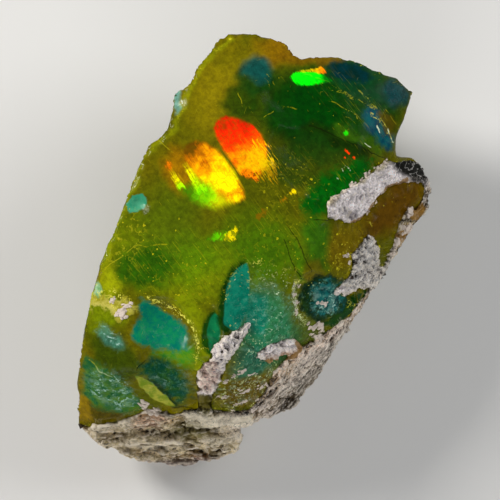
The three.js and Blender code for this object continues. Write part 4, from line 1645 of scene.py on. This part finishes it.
PLATES = (
    Dusting("pale plate", Band(((-4.9, -12.15), (-3.2, -12.5), (-0.7, -12.35)), 0.55), 0.8),
    Dusting("corner plate", Band(((-12.0, -13.2), (-10.6, -12.95), (-9.4, -12.7)), 0.5), 0.5),
    Dusting("lobe crest", Band(((-9.4, -14.2), (-7.4, -14.6), (-5.6, -14.2)), 0.5), 0.45),
    Dusting("lobe end", Band(((-3.6, -14.0), (-2.2, -14.1), (-1.3, -13.6)), 0.45), 0.45),
)

CRACKS = (
    Dusting("shoulder gap one", Band(((10.7, 2.1), (11.4, 2.35), (12.0, 2.3)), 0.3), 1.0),
    Dusting("shoulder gap two", Band(((10.3, 1.2), (10.8, 1.0), (11.4, 1.1)), 0.3), 1.0),
    Dusting("shoulder gap three", Band(((9.6, 0.3), (10.1, 0.05), (10.7, 0.15)), 0.3), 1.0),
    Dusting("shoulder gap four", Band(((9.5, -0.7), (9.9, -0.8)), 0.2), 0.9),
    Dusting("shoulder edge", Band(((12.9, 4.3), (12.5, 3.0), (11.8, 1.9)), 0.35), 0.8),
    Dusting(
        "above the lobe",
        Band(((-6.2, -11.65), (-4.5, -11.7), (-2.7, -11.68), (-0.6, -11.9), (0.5, -11.1)), 0.3), 1.0,
    ),
)

FIBRES = (
    Dusting("second slab", Spot((7.9, -0.9), (1.8, 2.2), 0, 0.5), 0.6),
    Dusting("splinter", Spot((-1.5, -6.8), (0.8, 1.8), -30, 0.5), 0.85),
    Dusting(
        "strip",
        Band(((-1.0, -12.6), (2.0, -9.8), (5.0, -7.4), (8.6, -3.6), (10.8, -0.8), (12.6, 4.0)), 2.4), 1.0,
    ),
)

BEDS = (
    Dusting("lobe", Spot((-6.2, -13.9), (6.4, 1.9), 4, 0.4), 1.0),
)

CURLS = (
    Dusting("right end", Spot((11.5, 6.3), (1.9, 1.0), -30, 0.5), 1.0),
    Dusting("crevice", Spot((-6.9, -12.0), (0.9, 0.25), -8, 0.3), 0.6),
)

ROCK_DUSTINGS = {
    "curl": CURLS,
    "rust": RUSTS,
    "olive": OLIVES,
    "crack": CRACKS,
    "fibre": FIBRES,
    "plate": PLATES,
    "bed": BEDS,
}

ROCK_STAINS = (
    Stain(
        "strip", Band(((-1.0, -12.4), (2.0, -9.6), (5.0, -7.2), (8.6, -3.6), (10.8, -0.8)), 2.2),
        shade(216, 202, 190), 0.8,
    ),
    # The pink band is the rock's own colour, laid brightest along the crest as painted light; the dark band
    # along the outer edge is painted shadow.
    Stain(
        "strip pink", Band(((-0.6, -11.4), (0.9, -9.6), (2.4, -8.2), (5.0, -6.2), (8.2, -3.2)), 0.9),
        shade(250, 226, 206), 0.85,
    ),
    Stain(
        "strip edge", Band(((1.6, -12.1), (4.2, -10.4), (6.0, -8.4), (9.0, -5.0)), 1.2), shade(58, 50, 44),
        0.92,
    ),
    Stain(
        "strip grey", Band(((2.0, -10.9), (3.8, -9.6), (5.2, -7.8), (8.4, -4.6)), 0.8),
        shade(128, 120, 108), 0.8,
    ),
    Stain("shoulder strip", Band(((10.4, -0.6), (11.8, 2.0), (12.8, 4.2)), 1.3), shade(176, 150, 92), 0.7),
    Stain("shoulder end", Spot((12.5, 3.6), (0.9, 0.8), 40, 0.8), shade(58, 44, 18), 0.85),
    Stain("splinter lump", Spot((-3.5, -9.0), (0.75, 1.2), -10, 0.4), shade(214, 184, 168), 0.9),
    Stain("splinter foot", Spot((-3.9, -11.6), (0.8, 0.85), 0, 0.3), shade(104, 96, 26), 0.97),
    Stain("pink lump", Spot((-7.8, -12.5), (1.3, 0.6), 8, 0.8), shade(214, 176, 150), 0.8),
    Stain("olive tint", Spot((-4.8, -13.2), (1.3, 0.7), 0, 0.8), shade(120, 116, 60), 0.6),
    Stain("rust speck", Spot((-4.1, -15.2), (0.7, 0.3), 0, 0.8), RUST, 0.8),
    Stain("mauve foot", Spot((-5.6, -16.0), (4.0, 0.7), 4, 0.8), shade(126, 112, 120), 0.7),
    Stain("second slab", Spot((7.9, -0.9), (2.2, 2.4), 0, 0.5), shade(184, 182, 176), 0.8),
    Stain(
        "pale plate", Band(((-5.0, -12.35), (-3.2, -12.7), (-0.6, -12.5)), 0.75), shade(246, 234, 208),
        0.95,
    ),
    Stain("slab shade", Spot((7.0, 2.6), (0.5, 0.4), 0, 0.8), shade(100, 90, 96), 0.7),
    Stain(
        "slab rim", Band(((5.1, 3.4), (6.6, 4.6), (8.6, 5.9), (10.0, 6.7), (11.6, 6.8)), 0.4),
        shade(206, 190, 148), 0.85,
    ),
    Stain("lens rim", Band(((0.8, -8.1), (2.0, -7.7), (3.3, -7.2)), 0.4), RUST, 0.85),
)


@dataclass(frozen=True)
class Streaks:
    """Dark and pale streaks that run one way through the rock.

    Dark and pale each hold the noise where the streak begins, where it is full, and how strong.
    """

    mark: str
    toss: tuple[float, float]
    half: Triple
    turn: float
    roughness: float
    dark: Triple
    pale: Triple
    dark_colour: Colour
    pale_colour: Colour

    def lay(self, sheet: NodeSheet, under: Feed) -> Socket:
        """Draws the streaks over the colour so far.

        Args:
            sheet: The material.
            under: The colour so far.

        Returns:
            The new colour.
        """
        along = sheet.mapped(self.half, self.turn, at=sheet.tossed(*self.toss))
        noise = sheet.noise(1.0, 5.0, self.roughness, along)
        shown = sheet.mark(self.mark)
        colour = under
        for (low, high, strong), own in ((self.dark, self.dark_colour), (self.pale, self.pale_colour)):
            streak = sheet.rescale(noise, low, high, 0.0, strong)
            colour = sheet.blend(sheet.times(streak, shown), colour, own)
        return colour


STREAKS = (
    Streaks(
        mark="fibre", toss=(0.9, 0.6), half=(0.5, 0.15, 0.4), turn=54, roughness=0.7,
        dark=(0.46, 0.36, 0.85), pale=(0.5, 0.62, 0.8), dark_colour=shade(46, 40, 36),
        pale_colour=shade(252, 240, 226),
    ),
    Streaks(
        mark="bed", toss=(0.55, 2.6), half=(0.7, 0.26, 0.5), turn=-16, roughness=0.68,
        dark=(0.44, 0.36, 0.75), pale=(0.53, 0.62, 0.6), dark_colour=shade(40, 34, 22),
        pale_colour=shade(240, 226, 196),
    ),
)


@dataclass(frozen=True)
class RindFinish:
    """Chalky, layered host rock, with painted highlights on its crests and painted shade in its hollows and
    grooves.
    """

    name: str = "host_rock"
    roughness: float = 0.92
    dust: Colour = shade(232, 218, 198)
    speck: Colour = shade(74, 62, 56)
    # Painted shade for hollows and grooves, and a painted highlight for crests.
    crevice: Colour = (0.56, 0.47, 0.33)
    groove_shade: Colour = shade(62, 51, 40)
    crest: Colour = shade(238, 226, 208)
    pit: Colour = shade(142, 130, 140)
    dark_curl: Colour = shade(34, 34, 30)
    light_curl: Colour = shade(176, 172, 166)
    plate: Colour = shade(240, 228, 204)
    olive: Colour = shade(100, 92, 20)
    crack: Colour = shade(24, 20, 14)
    dark_rust: Colour = shade(84, 56, 20)
    light_rust: Colour = shade(196, 146, 58)

    def wear_and_painted_light(self, sheet: NodeSheet, fine: Feed) -> Socket:
        """Works out the colour: dust and specks, painted shade in hollows and grooves, and painted
        highlights on crests.

        Args:
            sheet: The material.
            fine: Fine noise that darkens and lightens the rock.

        Returns:
            The colour.
        """
        body = sheet.dimmed(sheet.tint(), sheet.rescale(sheet.noise(1.4, 6.0, 0.7), 0.3, 0.7, 0.7, 1.3))
        body = sheet.dimmed(body, fine)
        dust = sheet.rescale(sheet.noise(2.1, 6.0, 0.75), 0.56, 0.66, 0.0, 0.7)
        body = sheet.blend(dust, body, self.dust)
        specks = sheet.noise(3.4, 4.0, 0.7, sheet.shifted((3.0, 9.0, 4.0)))
        plain = sheet.rescale(sheet.mark("fibre"), 0.1, 0.6, 1.0, 0.0)
        smooth = sheet.times(sheet.mark("slab"), plain)
        few = sheet.rescale(smooth, 0.0, 1.0, 1.0, 0.2)
        body = sheet.blend(sheet.times(sheet.rescale(specks, 0.6, 0.68, 0.0, 0.8), few), body, self.speck)
        # Painted shade: hollows are darkened and grooves take the dark groove colour.
        low = sheet.rescale(sheet.mark("hollow"), -0.22, 0.06)
        body = sheet.blend(1.0, body, sheet.blend(low, self.crevice, (1.0, 1.0, 1.0)), "MULTIPLY")
        proud = sheet.rescale(sheet.mark("ridge"), -0.034, -0.01)
        body = sheet.blend(sheet.most(proud, sheet.times(smooth, 0.6)), self.groove_shade, body)
        # Painted highlight: crests are lightened.
        return sheet.blend(sheet.rescale(sheet.mark("ridge"), 0.006, 0.035, 0.0, 0.6), body, self.crest)

    def make(self) -> bpy.types.Material:
        """Builds the finish.

        Returns:
            The material.
        """
        sheet = NodeSheet(self.name)
        fine = sheet.rescale(sheet.noise(5.5, 5.0, 0.8), 0.3, 0.7, 0.5, 1.5)
        body = self.wear_and_painted_light(sheet, fine)
        pits = sheet.rescale(sheet.noise(3.2, 5.0, 0.7), 0.58, 0.66, 0.0, 0.75)
        body = sheet.blend(sheet.times(pits, sheet.mark("slab")), body, self.pit)
        curls = sheet.rescale(sheet.off(sheet.noise(1.3, 2.0, 0.5), 0.5), 0.026, 0.006)
        body = sheet.blend(sheet.mark("curl"), body, sheet.blend(curls, self.dark_curl, self.light_curl))
        for streaks in STREAKS:
            body = streaks.lay(sheet, body)
        body = sheet.blend(sheet.times(sheet.mark("plate"), sheet.rescale(fine, 0.6, 0.9)), body, self.plate)
        body = sheet.blend(sheet.mark("olive"), body, self.olive)
        body = sheet.blend(sheet.times(sheet.mark("crack"), sheet.rescale(fine, 1.3, 1.0)), body, self.crack)
        stain = sheet.plus(sheet.mark("rust"), sheet.noise(3.0, 5.0, 0.7))
        iron = sheet.blend(sheet.noise(4.0, 3.0, 0.6), self.dark_rust, self.light_rust)
        body = sheet.blend(sheet.rescale(stain, 0.95, 1.15, 0.0, 0.85), body, iron)
        normal = sheet.bump(sheet.noise(4.5, 7.0, 0.8), 0.35, 0.7)
        feeds = {"Base Color": body, "Roughness": self.roughness, "Normal": normal}
        shader = sheet.add("ShaderNodeBsdfPrincipled", feeds)
        sheet.feed(sheet.output.inputs["Surface"], shader.outputs[0])
        return sheet.material


# ---- the stone


@dataclass
class HostRind:
    """The chalky crust on the foot, the flank and the underside."""

    cell: float = 0.14
    slab_low: float = 3.6
    deepest: float = -0.32
    bed_step: float = 0.9
    block_size: float = 0.85
    chip_size: float = 0.42
    swell_size: float = 2.0

    def slabs(self, place: Array) -> Array:
        """Returns 1 on the thin slabs that lie over the clear face and 0 elsewhere."""
        offset = np.min([outline_offset(slab, place) for slab in SLABS], axis=0)
        return ramp(offset, 0.35, 0.05) * ramp(place[:, 2], self.slab_low, self.slab_low + 1.0)

    def relief(self, surface: FineSurface) -> Array:
        """Works out the weathered relief of the crust.

        Args:
            surface: The eased surface.

        Returns:
            The height of each point above it.
        """
        grain = Grain(11)
        place = grain.drift(surface.plan(), 1.6, 0.35)
        slab = self.slabs(surface.plan())
        deep = line_distance(BEDDING, place[:, :2])
        beds = np.stack([0.34 * (place[:, 0] + 0.4 * place[:, 1]), deep, 0.9 * place[:, 2]], axis=1)
        beds = grain.drift(beds, 2.0, 0.35)
        seams = -0.16 * ramp(np.abs(grain.layered(beds / self.bed_step + 40, 3, 0.55)), 0.08, 0.0)
        _, owner, tilt = grain.cells(beds * np.array([1.7, 1.0, 1.0]) / self.block_size)
        blocks = 0.14 * (owner - 0.5) + 0.16 * tilt
        _, owner, tilt = grain.cells(place / self.chip_size + 13.0)
        chips = 0.07 * (owner - 0.5) + 0.06 * tilt
        fibres = 0.24 * grain.layered(beds * np.array([1.0, 3.0, 3.0]) + 7, 3, 0.6)
        swell = np.maximum(0.34 * grain.layered(beds / self.swell_size, 3, 0.55), -0.08)
        rough = 0.1 * grain.layered(place / 0.5, 4, 0.75)
        thick = swell + seams + blocks + chips + fibres + rough
        thick = np.maximum(thick, self.deepest) + 0.28 * dusted(PLATES, place)
        edges = 0.22 * grain.layered(place / 0.8 + 9, 3, 0.75) * ramp(surface.normals()[:, 2], 0.8, 0.4)
        crumple = 0.15 - 1.5 * np.abs(grain.layered(place / 1.1 + 3, 4, 0.65))
        wear_and_painted_light = 0.4 + 0.6 * ramp(place[:, 1], 1.9, 1.2)
        thin = 1.6 * chips + wear_and_painted_light * crumple + 1.2 * rough + edges
        return thick * (1 - slab) + thin * slab

    def build(self, solid: bpy.types.Object) -> FineSurface:
        """Grows the finished crust from its CAD solid.

        Args:
            solid: The CAD node.

        Returns:
            The surface of the finished piece, which the opal is fitted to.
        """
        surface = FineSurface.of_solid(solid, self.cell)
        surface.ease(rounds=4, spread=0.4, moves=4)
        height = self.relief(surface)
        surface.raise_by(height)
        place = surface.plan()
        grain = Grain(23)
        ground = washed(np.array(TAN), CREAM, ramp(grain.layered(place / 2.2, 3), -0.25, 0.25))
        brown = grain.layered(place * np.array([0.5, 1.0, 1.0]) / 1.5 + 5, 4, 0.6)
        ground = washed(ground, OCHRE, 0.7 * ramp(brown, 0.05, 0.3))
        slab = self.slabs(place)
        ground = washed(ground, LILAC, slab)
        tint = stained(ground, ROCK_STAINS, grain.drift(place, 1.0, 0.5))
        loose = grain.drift(place, 1.0, 0.3)
        marks = {name: dusted(dustings, loose) for name, dustings in ROCK_DUSTINGS.items()}
        # The ridges and hollows that the finish paints with highlights and shade.
        marks["ridge"] = surface.bulge(1)
        marks["hollow"] = surface.spread_out(height, 2) + 0.4 * slab
        marks["slab"] = slab
        piece = surface.make("host_rind", marks, tint)
        piece.data.materials.append(RindFinish().make())
        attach(piece, "root")
        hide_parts("host_rock")
        LOG.info("host rind: %d points", len(surface.points))
        return surface


@dataclass
class ClearOpal:
    """The broken clear body."""

    cell: float = 0.165
    joint_reach: float = 0.75
    joint_gap: float = 0.01
    hidden: float = 4.0

    def relief(self, surface: FineSurface, free: Array) -> Array:
        """Works out the relief that the break left.

        Args:
            surface: The eased surface.
            free: 0 against the rind and 1 well away from it, for each point.

        Returns:
            The height of each point above it.
        """
        place, facing = surface.plan(), surface.normals()
        grain = Grain(5)
        sideways = ramp(facing[:, 2], 0.5, 0.1)
        low = ramp(place[:, 1], -3.0, -8.0)
        hollow, _, _ = grain.cells(grain.drift(place, 3.0, 0.9) / 3.6)
        scallops = (0.16 + 0.3 * sideways) * hollow**2 * np.maximum(sideways, 0.35 * low)
        swell = 0.07 * grain.layered(place / 4.5, 3) + 0.015 * grain.smooth(place / 0.9)
        _, _, tilt = grain.cells(grain.drift(place, 1.2, 0.4) / 1.3)
        flakes = 0.05 * tilt * (0.3 + 0.7 * low)
        ridge = ramp(surface.bulge(4), 0.002, 0.012)
        nibbles = -0.12 * ridge * ramp(grain.layered(place / 0.55, 2), -0.05, 0.35)
        return (scallops + swell + flakes + nibbles - 0.22 * sideways) * free

    def turned_down(self, surface: FineSurface) -> Array:
        """Returns 1 for the points of the undercut sides and the underside and 0 for the rest."""
        upright = surface.spread_out(surface.normals()[:, 2], 6)
        return np.maximum(ramp(upright, 0.12, -0.08), ramp(surface.points[:, 2], 3.6, 2.6))

    def marks(self, surface: FineSurface, unseen: Array) -> dict[str, Array]:
        """Works out the numbers that the finish reads.

        Args:
            surface: The finished surface.
            unseen: 1 for the points that face down and 0 for the rest.

        Returns:
            The numbers of each point, by name.
        """
        place = surface.plan()
        below = self.hidden * unseen
        loose = Grain(41).drift(place, 1.1, 0.25)
        marks = {shape.mark: outline_offset(shape.corners, place) + below for shape in (*PATCHES, *FLASHES)}
        for kind in DrawnLine:
            side, past = line_offset(kind.value, loose)
            marks[kind.side], marks[kind.past] = side, past + below
        marks["ridge"] = surface.bulge()
        # Painted highlights: ridges get more glints.
        wear_and_painted_light = 0.7 * ramp(marks["ridge"], 0.006, 0.03)
        marks["glint"] = np.maximum(dusted(GLINTS, loose, 0.008) * (1 - unseen), wear_and_painted_light)
        for name, dustings in DUSTINGS.items():
            marks[name] = dusted(dustings, loose) * (1 - unseen)
        return marks

    def tint(self, place: Array, unseen: Array) -> Array:
        """Works out the ground colour.

        Args:
            place: The points as measured from the datum.
            unseen: 1 for the points that face down and 0 for the rest.

        Returns:
            The colour of each point.
        """
        grain = Grain(31)
        ground = washed(np.array(OLIVE), AMBER, ramp(grain.layered(place / 4.0, 3), -0.3, 0.3))
        green = 0.7 * ramp(grain.layered(place / 3.4 + 8, 3), -0.2, 0.5)
        teal = 0.6 * ramp(grain.layered(place / 2.6 + 31, 3), 0.25, 0.5)
        below = washed(washed(ground, shade(16, 70, 4), green), shade(10, 92, 70), teal)
        face = stained(ground, STAINS, grain.drift(place, 1.4, 0.7))
        return face * (1 - unseen[:, None]) + below * unseen[:, None]

    def build(self, solid: bpy.types.Object, rind: FineSurface) -> FineSurface:
        """Grows the finished body from its CAD solid.

        Args:
            solid: The CAD node.
            rind: The finished rind.

        Returns:
            The surface of the finished piece.
        """
        surface = FineSurface.of_solid(solid, self.cell)
        surface.ease(rounds=40, spread=0.22, moves=12)
        tree = rind.tree()
        free = ramp(surface.distance_to(tree, 1.2), 0.4, 1.1)
        surface.raise_by(self.relief(surface, free))
        surface.close_on(tree, self.joint_reach, self.joint_gap)
        unseen = self.turned_down(surface)
        piece = surface.make("clear_opal", self.marks(surface, unseen), self.tint(surface.plan(), unseen))
        piece.data.materials.append(OpalFinish().make())
        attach(piece, "root")
        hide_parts("opal")
        LOG.info("opal: %d points", len(surface.points))
        return surface


class Chalk(Enum):
    """What a loose bit of rock is coloured like."""

    WHITE = shade(252, 240, 224)
    CREAM = shade(206, 188, 128)
    GOLD = shade(196, 176, 62)
    PALE = shade(172, 186, 172)
    GREY = shade(122, 132, 116)
    PINK = shade(208, 176, 156)
    TAN = shade(170, 142, 108)
    RUST = shade(128, 92, 42)
    BLUE = shade(140, 166, 196)


@dataclass(frozen=True)
class Crumb:
    """One cluster of rock chips stuck on the opal."""

    at: Place
    half: Place
    turn: float
    chalk: Chalk

    def spin(self) -> Array:
        """Returns the matrix that turns a row of places about +Z."""
        spin = math.radians(self.turn)
        sine, cosine = math.sin(spin), math.cos(spin)
        return np.array([[cosine, sine, 0], [-sine, cosine, 0], [0, 0, 1]])


CRUMBS = (
    Crumb((-1.01, -8.83), (0.42, 0.2), 10, Chalk.PALE),
    Crumb((-1.6, -9.11), (0.2, 0.14), 0, Chalk.PALE),
    Crumb((-2.16, -9.52), (0.3, 0.16), 20, Chalk.RUST),
    Crumb((-0.81, -10.29), (0.5, 0.24), 12, Chalk.GREY),
    Crumb((0.43, -9.97), (0.5, 0.2), 14, Chalk.PALE),
    Crumb((1.03, -10.05), (0.3, 0.2), 0, Chalk.GREY),
    Crumb((-2.37, -10.7), (0.26, 0.16), 0, Chalk.GREY),
    Crumb((-0.95, -11.05), (0.36, 0.18), 10, Chalk.PALE),
    Crumb((-1.37, -11.21), (0.24, 0.14), 0, Chalk.PALE),
    Crumb((-0.29, -11.74), (0.34, 0.2), 20, Chalk.GREY),
    Crumb((0.34, -11.57), (0.26, 0.18), 0, Chalk.PALE),
    Crumb((1.1, -11.99), (0.4, 0.2), 30, Chalk.PALE),
    Crumb((0.13, -10.91), (0.26, 0.14), 0, Chalk.GREY),
    Crumb((-2.78, -10.63), (0.2, 0.14), 0, Chalk.TAN),
    Crumb((-1.67, -11.67), (0.2, 0.12), 0, Chalk.PALE),
    Crumb((-0.15, -8.97), (0.5, 0.1), 12, Chalk.PALE),
    Crumb((4.85, -3.75), (0.42, 0.28), -25, Chalk.PINK),
    Crumb((2.8, -3.2), (0.16, 0.2), -10, Chalk.WHITE),
    Crumb((3.0, -3.75), (0.14, 0.16), 10, Chalk.GOLD),
    Crumb((2.98, -4.5), (0.14, 0.26), 20, Chalk.GOLD),
    Crumb((3.2, -2.5), (0.2, 0.12), 30, Chalk.GOLD),
    Crumb((4.36, -5.46), (0.6, 0.36), 10, Chalk.GREY),
    Crumb((4.8, -5.79), (0.34, 0.24), 0, Chalk.PALE),
    Crumb((4.28, -6.23), (0.5, 0.3), 0, Chalk.PINK),
    Crumb((4.77, -6.39), (0.3, 0.22), 0, Chalk.PINK),
    Crumb((-9.7, -4.5), (0.6, 0.42), 35, Chalk.WHITE),
    Crumb((-9.36, -3.99), (0.4, 0.26), 10, Chalk.WHITE),
    Crumb((-10.5, -3.6), (0.34, 0.24), 20, Chalk.CREAM),
    Crumb((-8.1, -11.35), (0.75, 0.3), -38, Chalk.BLUE),
    Crumb((-7.5, -11.75), (0.6, 0.34), -20, Chalk.BLUE),
    Crumb((5.85, 3.85), (0.4, 0.2), 45, Chalk.CREAM),
    Crumb((6.5, 4.35), (0.36, 0.16), 30, Chalk.TAN),
    Crumb((7.0, 4.78), (0.4, 0.22), 50, Chalk.CREAM),
    Crumb((7.65, 5.2), (0.3, 0.16), 30, Chalk.GOLD),
    Crumb((8.2, 5.62), (0.42, 0.22), 45, Chalk.CREAM),
    Crumb((8.95, 6.1), (0.36, 0.18), 25, Chalk.TAN),
    Crumb((9.45, 6.5), (0.3, 0.2), 20, Chalk.CREAM),
    Crumb((8.15, 2.75), (0.3, 0.1), 50, Chalk.RUST),
    Crumb((8.75, 3.5), (0.3, 0.1), 50, Chalk.RUST),
    Crumb((9.35, 4.3), (0.3, 0.1), 45, Chalk.RUST),
    Crumb((11.3, 2.9), (0.5, 0.42), 30, Chalk.TAN),
    Crumb((11.05, 1.66), (0.56, 0.42), 40, Chalk.PALE),
    Crumb((10.35, 0.65), (0.42, 0.4), 40, Chalk.PALE),
    Crumb((10.05, -0.25), (0.4, 0.3), 40, Chalk.PINK),
    Crumb((6.7, -0.3), (0.26, 0.18), 30, Chalk.CREAM),
    Crumb((6.81, -0.85), (0.16, 0.16), 0, Chalk.WHITE),
    Crumb((6.44, -0.34), (0.16, 0.1), 0, Chalk.CREAM),
)


@dataclass
class RockCrumbs:
    """The bits of host rock that are stuck on the clear face."""

    detail: int = 7
    faces: int = 7
    chips: int = 7
    large: float = 0.55
    large_chips: int = 12
    main_share: float = 0.62
    roundness: float = 0.55
    flatness: float = 0.7
    sunk: float = 0.35

    def ball(self) -> tuple[Array, Array]:
        """Makes a ball of small quads.

        Returns:
            Its points, at radius one, and its quads.
        """
        steps = np.linspace(-1, 1, self.detail)
        u, v = np.meshgrid(steps, steps, indexing="ij")
        sheets, quads = [], []
        cell = np.arange(self.detail * self.detail).reshape(self.detail, self.detail)
        corners = [cell[:-1, :-1], cell[1:, :-1], cell[1:, 1:], cell[:-1, 1:]]
        ring = np.stack(corners, axis=-1).reshape(-1, 4)
        for axis in range(3):
            for sign in (-1, 1):
                columns = [np.full_like(u, sign), u * sign, v]
                turned = [columns[(k - axis) % 3] for k in range(3)]
                sheets.append(np.stack(turned, axis=-1).reshape(-1, 3))
                quads.append(ring + len(quads) * cell.size)
        points = np.tan(np.concatenate(sheets) * math.pi / 4)
        welded, index = np.unique(np.round(points, 6), axis=0, return_inverse=True)
        return unit(welded), index.ravel()[np.concatenate(quads)]

    def split(self, ball: Array, draw: np.random.Generator) -> Array:
        """Breaks a ball into a chip with flat faces.

        Args:
            ball: The points of the ball.
            draw: What the faces are drawn from.

        Returns:
            The points of the chip.
        """
        facings = unit(draw.normal(size=(self.faces, 3)))
        reach = draw.uniform(0.45, 1.0, self.faces)
        cuts = reach / np.maximum(ball @ facings.T, 0.05)
        return ball * np.minimum(cuts.min(axis=1), 1.25)[:, None]

    def seat(self, at: Array, grounds: Sequence[BVHTree]) -> tuple[Array, Vector] | None:
        """Drops a chip on the stone.

        Args:
            at: Where it is, seen from above.
            grounds: What it may come to lie on.

        Returns:
            The point where it lands and the way out of the stone there, or None beside the stone.
        """
        start = Vector((*at, 30.0)) + Vector(DATUM)
        casts = [ground.ray_cast(start, Vector((0, 0, -1))) for ground in grounds]
        hits = [cast[:2] for cast in casts if cast[0]]
        if not hits:
            return None
        point, normal = max(hits, key=lambda hit: hit[0].z)
        return np.array(point), normal

    def extent(self, crumb: Crumb, share: float) -> Array:
        """Returns the half-sizes of a chip that has a share of its crumb's length."""
        least = min(crumb.half)
        wide = (1 - self.roundness) * np.array(crumb.half) + self.roundness * least
        return share * np.array([*wide, self.flatness * least])

    def build(self, grounds: Sequence[FineSurface]) -> bpy.types.Object:
        """Sets every crumb on the stone.

        Args:
            grounds: The finished surfaces of the stone.

        Returns:
            The finished piece.
        """
        ball, quads = self.ball()
        trees = [ground.tree() for ground in grounds]
        grain = Grain(67)
        draw = np.random.default_rng(67)
        points, tints = [], []
        for crumb in CRUMBS:
            spin = crumb.spin()
            for chip in range(self.large_chips if max(crumb.half) > self.large else self.chips):
                size = self.extent(crumb, draw.uniform(0.25, 0.5) if chip else self.main_share)
                aside = draw.uniform(-0.85, 0.85, 2) if chip else np.zeros(2)
                landing = self.seat(crumb.at + aside * crumb.half @ spin[:2, :2], trees)
                if landing is None:
                    continue
                hit, normal = landing
                rough = 1 + 0.12 * grain.layered(ball * 2.3 + len(points) * 3.1, 3, 0.7)
                shape = self.split(ball, draw) * rough[:, None] * size
                tip = np.array(Vector((0, 0, 1)).rotation_difference(normal).to_matrix())
                middle = hit + np.array(normal) * (0.5 - self.sunk) * size[2]
                points.append(shape @ spin @ tip.T + middle)
                wear_and_painted_light = draw.uniform(0.6, 1.0) if chip else 1.0
                tints.append(np.tile(np.array(crumb.chalk.value) * wear_and_painted_light, (len(ball), 1)))
        faces = [quads + index * len(ball) for index in range(len(points))]
        surface = FineSurface(np.concatenate(points), np.concatenate(faces))
        plain = np.zeros(len(surface.points))
        marks = {name: plain for name in ("ridge", "slab", *ROCK_DUSTINGS)}
        marks["hollow"] = plain + 0.1
        piece = surface.make("rock_crumbs", marks, np.concatenate(tints))
        piece.data.shade_flat()
        piece.data.materials.append(bpy.data.materials["host_rock"])
        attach(piece, "root")
        LOG.info("crumbs: %d points", len(surface.points))
        return piece


# ---- the studio


@dataclass
class Studio:
    """A pale floor, soft lights and a camera that looks straight down."""

    floor_half: float = 400.0
    floor_colour: Colour = (0.7, 0.69, 0.67)
    lens: float = 500.0
    sensor: float = 36.0
    view_width: float = 36.7
    rim_height: float = 9.0
    aim: Place = (-0.28, 0.08)
    sky: Colour = (0.9, 0.93, 1.0)
    sky_strength: float = 0.1

    def floor(self) -> bpy.types.Object:
        """Lays the pale floor.

        Returns:
            The floor.
        """
        half = self.floor_half * MM
        corners = [(-half, -half, 0), (half, -half, 0), (half, half, 0), (-half, half, 0)]
        mesh = bpy.data.meshes.new("floor")
        mesh.from_pydata(corners, [], [(0, 1, 2, 3)])
        made = bpy.data.objects.new("floor", mesh)
        bpy.context.scene.collection.objects.link(made)
        sheet = NodeSheet("floor")
        feeds = {"Base Color": self.floor_colour, "Roughness": 0.85}
        shader = sheet.add("ShaderNodeBsdfPrincipled", feeds)
        sheet.feed(sheet.output.inputs["Surface"], shader.outputs[0])
        mesh.materials.append(sheet.material)
        made.visible_glossy = False
        made.visible_transmission = False
        return made

    def light(
        self, name: str, place: Triple, size: float, power: float, colour: Colour, mirrored: bool = False
    ) -> None:
        """Hangs a square light that points at the stone.

        Args:
            name: The light's name.
            place: Where it hangs, in millimetres.
            size: The length of its side, in millimetres.
            power: Its power in watts.
            colour: Its colour.
            mirrored: Whether only glossy faces see it, instead of only matt ones.
        """
        lamp = bpy.data.lights.new(name, "AREA")
        lamp.shape = "SQUARE"
        lamp.size = size * MM
        lamp.energy = power
        lamp.color = colour
        made = bpy.data.objects.new(name, lamp)
        made.location = Vector(place) * MM
        made.rotation_euler = (Vector((0, 0, 6)) * MM - made.location).to_track_quat("-Z", "Y").to_euler()
        made.visible_glossy = mirrored
        made.visible_diffuse = not mirrored
        bpy.context.scene.collection.objects.link(made)

    def lights(self) -> None:
        """Hangs the lights and sets the surrounding glow."""
        self.light("key", (-210, 150, 165), 90, 1.0, (1.0, 0.98, 0.95))
        self.light("fill", (205, 95, 120), 150, 0.45, (0.96, 0.98, 1.0))
        self.light("front", (-70, -240, 60), 150, 0.5, (1.0, 1.0, 1.0))
        self.light("glint", (-230, 60, 140), 15, 0.08, (1.0, 1.0, 0.96), mirrored=True)
        world = bpy.data.worlds.new("studio")
        world.use_nodes = True
        glow = world.node_tree.nodes["Background"]
        glow.inputs["Color"].default_value = (*self.sky, 1.0)
        glow.inputs["Strength"].default_value = self.sky_strength
        bpy.context.scene.world = world

    def camera(self) -> None:
        """Sets the camera over the stone, with its long side upright in the frame."""
        distance = self.view_width * self.lens / self.sensor
        data = bpy.data.cameras.new("above")
        data.lens = self.lens
        data.sensor_width = self.sensor
        data.clip_start = 0.005
        data.clip_end = 10.0
        made = bpy.data.objects.new("above", data)
        made.location = Vector((*self.aim, self.rim_height + distance)) * MM
        bpy.context.scene.collection.objects.link(made)
        bpy.context.scene.camera = made

    def build(self) -> None:
        """Builds the whole studio."""
        self.floor()
        self.lights()
        self.camera()
        bpy.context.scene.view_settings.view_transform = "Standard"
        LOG.info("studio: floor, lights and camera")


def main() -> None:
    """Builds the stone and its studio."""
    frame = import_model()
    Studio().build()
    rind = HostRind().build(frame["nodes"]["host_rock"])
    opal = ClearOpal().build(frame["nodes"]["opal"], rind)
    RockCrumbs().build([opal, rind])
    bpy.context.view_layer.update()


if __name__ == "__main__":
    logging.basicConfig(level=logging.INFO)
    main()
